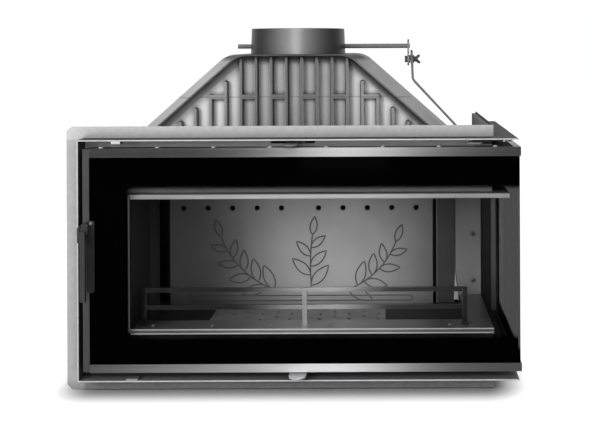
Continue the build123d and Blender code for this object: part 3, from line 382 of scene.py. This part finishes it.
# ---------------------------------------------------------------- flue collar
# Cast ring that the flue pipe stands in, turned and painted. It is smoother and darker than the hood
# that carries it, with a painted highlight down its front and painted shade on its edges.
collar_paint = skin(
    "collar_paint", grey(0.42), grey(0.48), (0.38, 0.44), metal=0.6, cloud=(9, 1, 1), grain=(700, 1, 3),
    bump=0.05, depth=0.0001, edge=grey(0.05), painted_light_x=(0.004, 0.004, 0.085, 0.2),
)
coat(collar_paint, "flue_collar")

# ---------------------------------------------------------------- firebox castings
# Rough grey iron under black heat paint, seen behind the linings and from the back. The beam over the
# opening, with the air box, is painted very pale in front, as light, with painted shade in its corners and a
# darker band near the beam's foot. The beam's right side is painted darker, as shade.
black_iron = skin(
    "black_cast_iron", grey(0.03), grey(0.055), (0.55, 0.75), cloud=(22, 1, 1), grain=(1100, 1, 1), bump=0.4,
    depth=0.0004, edge=grey(0.085),
)
coat(black_iron, "base_casting", "left_casting", "rear_casting", "top_plate", "smoke_baffle", "baffle_bar")
beam_foot = 0.383
lit_lintel_paint = skin(
    "lit_lintel_paint", grey(0.8), grey(0.92), (0.4, 0.55), metal=0.3, cloud=(30, 1, 1), grain=(1100, 1, 1),
    bump=0.2, edge=grey(0.5), hollow_shade=0.6, hollow_shade_reach=0.02, seam=(beam_foot, 0.012, 0.74),
)
coat(lit_lintel_paint, "front_lintel", "air_box")
shaded_paint = skin(
    "shaded_paint", grey(0.2), grey(0.26), (0.5, 0.6), cloud=(30, 1, 1), grain=(1100, 1, 1), bump=0.2,
    edge=grey(0.3), hollow_shade=0.3, hollow_shade_reach=0.02, spec=0.1,
)
coat(shaded_paint, "side_lintel")

# ---------------------------------------------------------------- linings
# Loose cast plates that line the fire chamber, grey from heat. The back plate has a painted pool of light in
# its middle, and the side plates are painted dark as shade, the left front plate most of all.
# painted pool of light in the back plate's middle, painted shade in its corners, and darker edges
lining_iron = skin(
    "lining_iron", grey(0.72), grey(0.86), (0.32, 0.45), metal=0.2, cloud=(10, 1, 1), grain=(1000, 1, 1),
    bump=0.2, edge=grey(0.12), edge_width=0.0015, hollow_shade=0.5, hollow_shade_reach=0.06,
    painted_light_x=(0.06, 0.03, 0.3, 0.26),
)
coat(lining_iron, "back_plate")
# painted shade: the right side plate is painted dark
shaded_side_iron = skin(
    "shaded_side_iron", grey(0.1), grey(0.15), (0.4, 0.55), cloud=(10, 1, 1), grain=(1000, 1, 1), bump=0.2,
    edge=grey(0.3), hollow_shade=0.4, hollow_shade_reach=0.06,
)
coat(shaded_side_iron, "right_liner")
# painted shade: the left side plates, the front one darker than the rear
for name, node, tone in (
    ("front_side_shaded_iron", "left_liner_front", 0.03),
    ("rear_side_shaded_iron", "left_liner_rear", 0.06),
):
    coat(skin(
        name, grey(tone), grey(1.4 * tone), (0.5, 0.6), cloud=(10, 1, 1), grain=(1000, 1, 1), bump=0.2,
        edge=grey(0.3), hollow_shade=0.4, hollow_shade_reach=0.06, spec=0.15,
    ), node)
column_iron = skin(
    "column_iron", grey(0.26), grey(0.34), (0.4, 0.55), cloud=(10, 1, 1), grain=(1000, 1, 1), bump=0.2,
    edge=grey(0.6), edge_width=0.0015, hollow_shade=0.5, hollow_shade_reach=0.05,
)
coat(column_iron, "right_column")


# ---------------------------------------------------------------- relief of the back plate
# Three leafy branches cast into the back plate as low raised lines, over a long looped base line.
# They are painted darker than the plate, as shade, and their edges a little brighter, as painted highlights.
def ring_faces(rows, columns, closed=False):
    """Quads between points in rows, where each row is a loop, and the rows too where closed is set."""
    i, j = np.meshgrid(np.arange(rows if closed else rows - 1), np.arange(columns), indexing="ij")
    below, beside = (i + 1) % rows, (j + 1) % columns
    quads = np.stack(
        [i * columns + j, i * columns + beside, below * columns + beside, below * columns + j], -1
    )
    caps = [] if closed else [list(range(columns)), list(range((rows - 1) * columns, rows * columns))]
    return quads.reshape(-1, 4).tolist() + caps


def carried(path, profile, lift, closed=False):
    """Points and faces of a profile carried along a path.

    At each path point, side = ahead x lift, scaled to one, and the profile's point (a, b) lies at
    path + a side + b lift. Flat caps close the two ends, or the path closes on itself.
    """
    path = np.asarray(path, float)
    lift = np.broadcast_to(np.asarray(lift, float), path.shape)
    ahead = np.roll(path, -1, 0) - np.roll(path, 1, 0)
    if not closed:
        ahead[0], ahead[-1] = path[1] - path[0], path[-1] - path[-2]
    side = np.cross(ahead, lift)
    side /= np.linalg.norm(side, axis=1, keepdims=True)
    profile = np.asarray(profile, float)
    points = path[:, None] + profile[..., 0, None] * side[:, None] + profile[..., 1, None] * lift[:, None]
    rows, columns = points.shape[:2]
    return points.reshape(-1, 3), ring_faces(rows, columns, closed)


def half_round(width, height, foot=0.0003):
    """Profile of a raised bead: a half ellipse on a foot that is sunk into what carries it."""
    turn = np.linspace(0, math.pi, 7)
    arc = np.stack([width / 2 * np.cos(turn), height * np.sin(turn)], -1)
    return np.vstack([arc, [(-width / 2, -foot), (width / 2, -foot)]])


def together(shapes):
    """Points and faces of several shapes as one."""
    starts = np.cumsum([0] + [len(points) for points, _ in shapes])
    faces = [[start + i for i in face] for start, (_, part) in zip(starts.tolist(), shapes) for face in part]
    return np.vstack([points for points, _ in shapes]), faces


def made(name, shape, finish, body="insert"):
    """New piece from points and faces, turned outwards, with its finish, riding on its body."""
    mesh = bpy.data.meshes.new(name)
    mesh.from_pydata(shape[0].tolist(), [], shape[1])
    form = bmesh.new()
    form.from_mesh(mesh)
    bmesh.ops.recalc_face_normals(form, faces=form.faces)
    form.to_mesh(mesh)
    form.free()
    mesh.materials.append(finish)
    piece = bpy.data.objects.new(name, mesh)
    bpy.context.scene.collection.objects.link(piece)
    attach(piece, body)
    return piece


to_front = (0, -1, 0)
relief_line = half_round(0.0024, 0.0013)
relief_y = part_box("back_plate")[0][1]


def on_plate(x, z):
    """Path on the back plate's face from its X and Z."""
    return np.stack([x, np.full_like(x, relief_y), z], -1)


def leaf(foot, heading, length):
    """Pointed oval, turned to its heading.

    along = length t, and across = +-0.19 length sin(pi t)^0.8 (1.2 - 0.4 t).
    """
    t = np.linspace(0, 1, 13)
    across = 0.19 * length * np.sin(math.pi * t) ** 0.8 * (1.2 - 0.4 * t)
    along = np.concatenate([t, t[-2:0:-1]]) * length
    across = np.concatenate([across, -across[-2:0:-1]])
    x = foot[0] + along * math.cos(heading) - across * math.sin(heading)
    z = foot[1] + along * math.sin(heading) + across * math.cos(heading)
    return carried(on_plate(x, z), relief_line, to_front, closed=True)


def branch(foot, heading, bend, length, leaves):
    """Stem whose heading turns evenly from heading by bend, with leaves in turn on its two sides."""
    leaf_lean, first_leaf, leaf_step = 0.8, 0.12, 0.8
    low_leaf, leaf_shrink, end_leaf = 0.058, 0.022, 0.04
    s = np.linspace(0, 1, 40)
    turn = heading + bend * s
    step = length / (len(s) - 1)
    x = foot[0] + np.concatenate([[0], np.cumsum(np.cos(turn[:-1]) * step)])
    z = foot[1] + np.concatenate([[0], np.cumsum(np.sin(turn[:-1]) * step)])
    shapes = [carried(on_plate(x, z), relief_line, to_front)]
    for i in range(leaves):
        k = int((first_leaf + leaf_step * i / leaves) * len(s))
        lean = turn[k] + (leaf_lean if i % 2 else -leaf_lean)
        shapes.append(leaf((x[k], z[k]), lean, low_leaf - leaf_shrink * i / leaves))
    shapes.append(leaf((x[-1], z[-1]), turn[-1], end_leaf))
    return shapes


def rounded_loop(left, right, low, high):
    """Long loop in X and Z with half-circle ends."""
    radius = (high - low) / 2
    turn = np.linspace(-math.pi / 2, math.pi / 2, 9)
    x = np.concatenate([right - radius + radius * np.cos(turn), left + radius - radius * np.cos(turn)])
    z = np.concatenate([low + radius + radius * np.sin(turn), high - radius - radius * np.sin(turn)])
    return carried(on_plate(x, z), relief_line, to_front, closed=True)


shaded_relief_iron = skin(
    "shaded_relief_iron", grey(0.14), grey(0.18), (0.4, 0.5), metal=0.3, cloud=(40, 1, 1), bump=0.2, edge=grey(0.5),
    edge_width=0.0006,
)
sprays = []
for foot, heading, bend, length, leaves in (
    ((-0.045, 0.112), 165, -56, 0.19, 8),
    ((0.085, 0.112), 16, 54, 0.17, 7),
    ((0.02, 0.114), 96, -14, 0.125, 5),
):
    sprays += branch(foot, math.radians(heading), math.radians(bend), length, leaves)
sprays.append(rounded_loop(-0.255, 0.243, 0.093, 0.104))
made("leaf_relief", together(sprays), shaded_relief_iron)

# ---------------------------------------------------------------- edges of the linings
# Pale beads along the plates' edges are painted highlights, where the edges catch the light. A small pale
# triangle in front of the column's foot is a painted highlight too.
# pale steel for the clamp strip, and painted highlights where it forms the beads on the plates' edges; a
# little darker away from X = -0.1
pale_steel_and_edge_highlight = skin(
    "pale_steel_and_edge_highlight", grey(0.42), grey(0.52), (0.3, 0.4), metal=0.5, cloud=(40, 1, 0.2), bump=0.1, depth=0.0001,
    painted_light_x=(-0.1, 0.1, 0.6, 0.8),
)
sunk = 0.0002
end_gap = 0.0005
threshold_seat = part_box("liner_screws")[0][2]


def plate_line(node, from_left=None, from_right=None, foot=None):
    """Upright line just inside a plate's front face, at a distance from its left or its right side."""
    low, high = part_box(node)
    x = low[0] + from_left if from_right is None else high[0] - from_right
    y = low[1] + sunk
    return [(x, y, (low[2] if foot is None else foot) + end_gap), (x, y, high[2] - end_gap)]


made(
    "liner_beads",
    together([
        carried(plate_line("left_liner_front", from_left=0.003, foot=threshold_seat),
                half_round(0.0038, 0.0008), to_front),
        carried(plate_line("right_liner", from_left=0.0012), half_round(0.0026, 0.001), to_front),
        carried(plate_line("back_plate", from_right=0.0014), half_round(0.0022, 0.0008), to_front),
    ]),
    pale_steel_and_edge_highlight,
)
# painted highlight: a pale triangle where light shows at the column's foot
highlight_patch = skin(
    "highlight_patch", grey(0.7), grey(0.85), (0.3, 0.4), metal=0.2, cloud=(60, 1, 1), bump=0.1,
)
column_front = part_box("right_column")[0][1]
patch_thickness = 0.0025
patch_path = [(0, column_front - patch_thickness, 0), (0, column_front + sunk, 0)]
patch_outline = [(0.3335, 0.166), (0.331, 0.106), (0.341, 0.106)]
made("column_highlight_patch", carried(patch_path, patch_outline, (0, 0, 1)), highlight_patch)

# ---------------------------------------------------------------- hearth, grate and ash pan
# Sheet threshold and air lip in grey heat paint, a loose cast grate, and an ash pan of folded sheet.
# Two rolled beads run along the threshold's front, and a pressed strip along the front of the air lip.
# painted highlight across the threshold's middle, darker towards its ends, and painted highlights on its
# edges
hearth_paint = skin(
    "hearth_paint", grey(0.36), grey(0.46), (0.28, 0.4), metal=0.6, cloud=(12, 1, 1), bump=0.12,
    edge=grey(0.8), edge_width=0.001, painted_light_x=(0.06, 0.05, 0.3, 0.5),
)
coat(hearth_paint, "threshold_plate")
lip_paint = skin(
    "lip_paint", grey(0.27), grey(0.33), (0.4, 0.5), metal=0.1, cloud=(12, 1, 1), bump=0.12, spec=0.2,
)
coat(lip_paint, "upper_lip")
# painted highlight across the strip's middle, darker towards its ends
rolled_edge = skin(
    "rolled_edge", grey(0.6), grey(0.72), (0.34, 0.42), metal=0.3, cloud=(60, 0.2, 2), grain=(900, 0.1, 2),
    bump=0.08, depth=0.0001, brushed=0.5, painted_light_x=(0.03, 0.05, 0.32, 0.75),
)
# painted highlight across the beads' middle, darker towards their ends
bead_steel = skin(
    "bead_steel", grey(0.86), grey(0.98), (0.34, 0.42), metal=0.3, cloud=(60, 0.2, 2), grain=(900, 0.1, 2),
    bump=0.08, depth=0.0001, painted_light_x=(0.03, 0.05, 0.3, 0.7),
)
liner_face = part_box("left_liner_front")[1][0]
plate_low, plate_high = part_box("threshold_plate")
bead_y = plate_low[1] + sunk
made(
    "threshold_beads",
    together([
        carried([(liner_face + sunk, bead_y, z), (plate_high[0] - sunk, bead_y, z)],
                half_round(0.0028, 0.0012), to_front)
        for z in (plate_high[2] - 0.0008, plate_low[2] + 0.0017)
    ]),
    bead_steel,
)
lip_low, lip_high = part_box("upper_lip")
strip_z = lip_low[2] + 0.0046
strip_path = [(liner_face + end_gap, lip_low[1], strip_z), (lip_high[0] - sunk, lip_low[1], strip_z)]
strip_profile = [(-0.0043, -0.0002), (-0.0043, 0.0007), (-0.0034, 0.0013), (0.0034, 0.0013),
                 (0.0043, 0.0007), (0.0043, -0.0002)]
made("lip_strip", carried(strip_path, strip_profile, to_front), rolled_edge)
grate_iron = skin(
    "grate_iron", grey(0.3), grey(0.4), (0.4, 0.5), cloud=(25, 1, 1), grain=(800, 1, 1), bump=0.3,
    depth=0.0003, edge=grey(0.25),
)
coat(grate_iron, "grate")
pan_steel = skin("ash_pan_steel", grey(0.25), grey(0.4), (0.35, 0.55), metal=0.8, bump=0.1)
coat(pan_steel, "ash_pan")

# ---------------------------------------------------------------- log guard
# Two flat bars on three posts, cut from flat steel and welded. It is brushed, with a painted highlight
# across its middle that falls to painted shade towards its two ends, and stands loose on the threshold.
guard_steel = skin(
    "guard_steel", grey(0.52), grey(0.58), (0.26, 0.32), metal=0.95, cloud=(14, 0.3, 1), bump=0.06,
    depth=0.0001, edge=grey(0.5), edge_width=0.0008, brushed=0.8, painted_light_x=(0.045, 0.02, 0.16, 0.13),
)
coat(guard_steel, "log_guard")

# ---------------------------------------------------------------- air slides, damper and pull rod
# Drawn and cut mild steel. The levers and pins are dull grey, and the upper slide is painted near black
# beside its tab, as the shade in the slots round it. The hood's bolts and the lower slide are bright with
# zinc, and rod, shaft and clamp have darkened in use.
dull_steel = skin(
    "dull_steel", grey(0.2), grey(0.34), (0.3, 0.45), metal=0.85, cloud=(40, 1, 1), bump=0.1, depth=0.0001,
)
coat(dull_steel, "damper_disc", "damper_lever", "hinge_pins", "handle_pin", "latch_keeper")
# painted shade: near black away from the tab, as the shade in the slots round it
slot_shade_steel = skin(
    "slot_shade_steel", grey(0.2), grey(0.26), (0.4, 0.5), cloud=(40, 1, 1), bump=0.1,
    painted_light_x=(0.0135, 0.017, 0.019, 0.01), spec=0.1,
)
coat(slot_shade_steel, "secondary_air_slide")
bright_zinc = skin(
    "bright_zinc", grey(0.55), grey(0.75), (0.2, 0.35), metal=0.95, cloud=(90, 1, 1), grain=(1500, 1, 1),
    bump=0.1, depth=0.0001,
)
coat(bright_zinc, "hood_bolts", "frame_corner_bolt")
rod_zinc = skin(
    "rod_zinc", grey(0.24), grey(0.3), (0.4, 0.5), metal=0.4, cloud=(90, 1, 1), bump=0.05, depth=0.0001,
)
coat(rod_zinc, "damper_pull_rod", "damper_shaft")
stained_zinc = skin(
    "stained_zinc", grey(0.06), grey(0.12), (0.4, 0.5), metal=0.3, cloud=(90, 1, 1), bump=0.1, depth=0.0001,
    edge=grey(0.3), edge_width=0.0006,
)
coat(stained_zinc, "clamp_bolt", "clamp_washers", "wing_nut")
slide_zinc = skin(
    "slide_zinc", grey(0.7), grey(0.9), (0.3, 0.4), metal=0.3, cloud=(90, 1, 1), bump=0.15,
)
coat(slide_zinc, "primary_air_slide")


# ---------------------------------------------------------------- screws
# Round-headed screws with a hexagon socket, turned and zinc coated. They are bright in the trims, duller
# on the threshold, where the fire has stained them, and iron grey in the column.
def turned(profile, places, axis, count=14):
    """Points and faces of a profile turned round an axis, once at each place.

    The profile's point (r, h) becomes the ring place + r (cos t u + sin t v) + h axis. Flat caps close it.
    """
    axis = np.asarray(axis, float)
    u = np.roll(axis, 1)
    v = np.cross(axis, u)
    t = np.linspace(0, 2 * math.pi, count, endpoint=False)[:, None]
    spoke = np.cos(t) * u + np.sin(t) * v
    profile = np.asarray(profile, float)
    head = profile[:, 0, None, None] * spoke + profile[:, 1, None, None] * axis
    faces = ring_faces(len(profile), count)
    return together([((head + place).reshape(-1, 3), faces) for place in np.asarray(places, float)])


def screw_head(radius, height):
    """Profile of a domed head with a socket in its middle."""
    return [(radius, 0), (radius, 0.25 * height), (0.9 * radius, 0.6 * height), (0.7 * radius, 0.87 * height),
            (0.48 * radius, height), (0.44 * radius, 0.95 * height), (0.4 * radius, 0.35 * height)]


# painted shade in the sockets and round the heads' feet
screw_steel = skin(
    "screw_steel", grey(0.55), grey(0.7), (0.3, 0.4), metal=0.15, cloud=(200, 1, 1), bump=0.1, hollow_shade=0.4,
    hollow_shade_reach=0.0015,
)
dark_screw_steel = skin(
    "dark_screw_steel", grey(0.3), grey(0.4), (0.3, 0.4), metal=0.2, cloud=(200, 1, 1), bump=0.1, hollow_shade=0.4,
    hollow_shade_reach=0.0015,
)
column_screw_iron = skin(
    "column_screw_iron", grey(0.22), grey(0.3), (0.3, 0.4), metal=0.3, cloud=(200, 1, 1), bump=0.1,
    hollow_shade=0.1, hollow_shade_reach=0.004,
)
trim_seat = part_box("trim_screws")[0][2]
trim_line_y, trim_line_x = -0.2365, 0.432
front_row = [(x, trim_line_y, trim_seat) for x in np.linspace(-0.3478, 0.3914, 8)]
side_row = [(trim_line_x, y, trim_seat) for y in (-0.1364, -0.0308, 0.0748)]
trim_heads = turned(screw_head(0.0044, 0.0024), front_row + side_row, (0, 0, 1))
heads = made("trim_screw_heads", trim_heads, screw_steel, "door")
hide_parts("trim_screws")
threshold_line_y, column_line_x = -0.186, 0.372
threshold_row = [(x, threshold_line_y, threshold_seat) for x in np.linspace(-0.2644, 0.3081, 6)]
column_row = [(column_line_x, column_front, z) for z in (0.1475, 0.2475)]
floor_shape = turned(screw_head(0.0036, 0.002), threshold_row, (0, 0, 1))
floor_heads = made("threshold_screw_heads", floor_shape, dark_screw_steel)
column_shape = turned(screw_head(0.0056, 0.003), column_row, to_front)
made("column_screw_heads", column_shape, column_screw_iron)
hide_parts("liner_screws")

# ---------------------------------------------------------------- mounting frame
# Angle profiles of folded zinc coated sheet, matt and mottled like galvanised steel, which cover the gap to
# the surround. Faces that don't look to the front carry painted shade, as do corners, and the left and lower
# profiles are painted darker as shade. A bright bead along the front edge, from the top round the left side
# to the bottom, is a painted highlight, as are the pale edges.
# painted shade on faces that don't look to the front and in corners; the left profile is painted darker
for name, tone, profiles in (
    ("zinc_sheet", 0.66, ("frame_top", "frame_rear")),
    ("shaded_left_zinc", 0.53, ("frame_left",)),
):
    coat(skin(
        name, grey(tone), grey(1.12 * tone), (0.5, 0.6), cloud=(120, 1, 1), grain=(1500, 1, 1), bump=0.12,
        depth=0.0001, edge=grey(0.85), edge_width=0.0008, hollow_shade=0.3, spec=0.05,
        facing_light=(0.42, 0.42, 0.135, 0.42, 0.31),
    ), *profiles)
# painted shade: the lower profile is painted darker
shaded_zinc = skin(
    "shaded_zinc", grey(0.36), grey(0.46), (0.4, 0.55), metal=0.2, cloud=(120, 1, 1), grain=(1500, 1, 1),
    bump=0.12, depth=0.0001, edge=grey(0.6), edge_width=0.0008, hollow_shade=0.4,
)
coat(shaded_zinc, "frame_bottom")
# painted highlight: a bright bead along the frame's front edge
edge_highlight = skin(
    "edge_highlight", grey(0.78), grey(0.95), (0.3, 0.4), metal=0.3, cloud=(90, 1, 1), bump=0.1, depth=0.0001,
)
cut_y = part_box("frame_top")[0][1] + sunk
cut_left, cut_right, cut_low, cut_high = -0.3906, 0.434, 0.0302, 0.4803
cut_line = [(cut_right, cut_y, cut_high), (cut_left, cut_y, cut_high), (cut_left, cut_y, cut_low),
            (cut_right, cut_y, cut_low)]
cut_profile = half_round(0.0024, 0.0007)
made(
    "frame_edge_highlight",
    together([carried(cut_line[i:i + 2], cut_profile, to_front) for i in range(len(cut_line) - 1)]),
    edge_highlight,
)

# ---------------------------------------------------------------- door
# Black folded rails and uprights with brushed steel trims screwed on. The two panes are ceramic glass with a
# black print round a clear window, and the side pane is tinted dark.
black_paint = skin(
    "black_heat_paint", grey(0.04), grey(0.06), (0.4, 0.55), cloud=(20, 1, 1), grain=(1400, 1, 1), bump=0.15,
    edge=grey(0.12), edge_width=0.0008,
)
coat(black_paint, "door_top_rail_front", "door_top_rail_side", "door_bottom_rail_front",
     "door_bottom_rail_side", "door_left_stile", "door_rear_stile", "handle_block", "handle_lever",
     "handle_grip", "upper_hinge_block", "lower_hinge_block")
# painted highlight across each trim's middle, darker towards its ends, the bottom trim painted paler than the
# top, and painted highlights on their edges
for name, node, tone, trim_highlight in (
    ("brushed_top_highlight", "top_trim", 0.42, (0.14, 0.03, 0.34, 0.5)),
    ("brushed_bottom_highlight", "bottom_trim", 0.83, (-0.05, 0.06, 0.4, 0.38)),
):
    coat(skin(
        name, grey(tone), grey(1.2 * tone), (0.36, 0.44), metal=1.0, cloud=(25, 0.06, 6),
        grain=(900, 0.01, 3), bump=0.06, depth=0.00005, edge=grey(0.9), edge_width=0.0007, brushed=0.95,
        painted_light_x=trim_highlight,
    ), node)
# painted shade and dark reflection: the left trim is painted dark
shaded_left_trim = skin(
    "shaded_left_trim", grey(0.1), grey(0.14), (0.3, 0.45), metal=0.6, cloud=(25, 1, 0.3), grain=(900, 3, 0.02),
    bump=0.08, depth=0.00005, edge=grey(0.25), edge_width=0.0007,
)
coat(shaded_left_trim, "left_trim")
fibre = skin("glass_fibre", grey(0.05), grey(0.1), (0.8, 0.95), cloud=(300, 1, 1), bump=0.6, depth=0.0006)
coat(fibre, "glass_gasket")
window_top = 0.3912
print_fade = 0.0065


def printed_glass(name, axis, low, high, bottom, cover):
    """Glass with a black printed border whose inner edge is a short soft fade.

    The window lies between low and high along one axis, and from bottom to window_top. The print covers
    the pane fully outside it, and inside it the glass's own tint covers the share that cover gives.
    """
    material = bpy.data.materials.new(name)
    add, link = tree_of(material)
    place = add("ShaderNodeTexCoord")
    position = add("ShaderNodeSeparateXYZ")
    link(place.outputs["Object"], position.inputs[0])
    window = None
    for source, limit, side in (
        (axis, low, 1), (axis, high, -1), ("Z", bottom, 1), ("Z", window_top, -1),
    ):
        fade = add("ShaderNodeMapRange", interpolation_type="SMOOTHSTEP")
        fade.inputs["From Min"].default_value = limit - side * print_fade
        fade.inputs["From Max"].default_value = limit + side * print_fade
        link(position.outputs[source], fade.inputs["Value"])
        if window is None:
            window = fade.outputs[0]
            continue
        times = add("ShaderNodeMath", operation="MULTIPLY")
        link(window, times.inputs[0])
        link(fade.outputs[0], times.inputs[1])
        window = times.outputs[0]
    printed = add("ShaderNodeMapRange")
    printed.inputs["To Min"].default_value = 1.0
    printed.inputs["To Max"].default_value = cover
    link(window, printed.inputs["Value"])
    shader = add("ShaderNodeBsdfPrincipled")
    shader.inputs["Base Color"].default_value = (0.0006, 0.0006, 0.0006, 1)
    shader.inputs["Roughness"].default_value = 0.06
    shader.inputs["Specular IOR Level"].default_value = 0.004
    link(printed.outputs[0], shader.inputs["Alpha"])
    out = add("ShaderNodeOutputMaterial")
    link(shader.outputs[0], out.inputs["Surface"])
    return material


coat(printed_glass("front_glass", "X", low=-0.3, high=0.6, bottom=0.109, cover=0.06), "front_glass")
coat(printed_glass("side_glass", "Y", low=-0.5, high=0.097, bottom=0.084, cover=0.74), "side_glass")

# ---------------------------------------------------------------- clamp strip
# Pale steel strip with bevelled edges, screwed on the rear upright from inside. It holds the side glass's
# rear edge.
clamp_x, clamp_y = 0.4238, 0.0982
clamp_path = [(clamp_x, clamp_y, 0.064), (clamp_x, clamp_y, 0.4475)]
clamp_profile = [(-0.0055, -0.0002), (-0.0055, 0.0012), (-0.0048, 0.0018), (0.0048, 0.0018),
                 (0.0055, 0.0012), (0.0055, -0.0002)]
made("clamp_strip", carried(clamp_path, clamp_profile, to_front), pale_steel_and_edge_highlight, "door")

# ---------------------------------------------------------------- door seal
# Braided glass fibre rope, pressed flat in the gap behind the leaf, glued round the whole opening. The
# section is an oval, 10 mm wide and 5.5 mm thick, whose flat side follows the castings round the corner.
rope_half_width, rope_half_thickness = 0.005, 0.00275
rope_spacing = 0.0025
left, right = -0.3735, 0.3929
front, back = -0.2032, 0.108
low, high = 0.0553, 0.4575
corners = np.array([
    (left, front, low), (right, front, low), (right, back, low), (right, back, high), (right, front, high),
    (left, front, high),
])
towards = np.array([(0, 1, 0), (-1, 0, 0), (-1, 0, 0), (-1, 0, 0), (0, 1, 0), (0, 1, 0)], float)
ends = np.roll(corners, -1, 0)
runs = np.linalg.norm(ends - corners, axis=1)
counts = np.maximum((runs / rope_spacing).astype(int), 2)
share = np.concatenate([np.arange(n) / n for n in counts])
which = np.repeat(np.arange(len(corners)), counts)
rope_path = corners[which] + share[:, None] * (ends - corners)[which]
rope_lift = towards[which]
for _ in range(3):
    rope_path = (np.roll(rope_path, 1, 0) + 2 * rope_path + np.roll(rope_path, -1, 0)) / 4
    rope_lift = (np.roll(rope_lift, 1, 0) + 2 * rope_lift + np.roll(rope_lift, -1, 0)) / 4
rope_lift /= np.linalg.norm(rope_lift, axis=1, keepdims=True)
turn = np.linspace(0, 2 * math.pi, 14, endpoint=False)
number = np.arange(len(rope_path))[:, None]
# braid: the oval swells by 5% where two opposite helices meet
swell = 0.05
braid = 1 - swell + swell * np.cos(3 * turn + 0.8 * number) * np.cos(3 * turn - 0.8 * number)
oval = np.stack([rope_half_width * braid * np.cos(turn), rope_half_thickness * braid * np.sin(turn)], -1)
rope = made("seal_rope", carried(rope_path, oval, rope_lift, closed=True), fibre, "door")
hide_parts("door_seal")

# ---------------------------------------------------------------- shadow beside the grip
# Long black sheet beside the grip, cut with small bevelled corners, on the door's face: painted shadow and
# dark reflection of the grip, its contour a little paler. A screw head sits near its top.
# painted shadow and dark reflection of the grip
grip_shadow_paint = skin(
    "painted_grip_shadow", grey(0.008), grey(0.016), (0.45, 0.6), cloud=(40, 1, 1), grain=(1400, 1, 1), bump=0.15,
    edge=grey(0.16), edge_width=0.0008,
)
sheet_front, sheet_back = -0.2453, -0.2435
sheet_outline = [(-0.3735, 0.199), (-0.3735, 0.329), (-0.372, 0.331), (-0.3605, 0.331), (-0.3585, 0.329),
                   (-0.3585, 0.199), (-0.3605, 0.197), (-0.3715, 0.197)]
sheet_path = [(0, sheet_front, 0), (0, sheet_back, 0)]
made("grip_shadow_sheet", carried(sheet_path, sheet_outline, (0, 0, 1)), grip_shadow_paint, "door")
grip_screw = turned(screw_head(0.003, 0.0018), [(-0.3648, sheet_front, 0.3265)], to_front)
made("grip_screw", grip_screw, dark_screw_steel, "door")
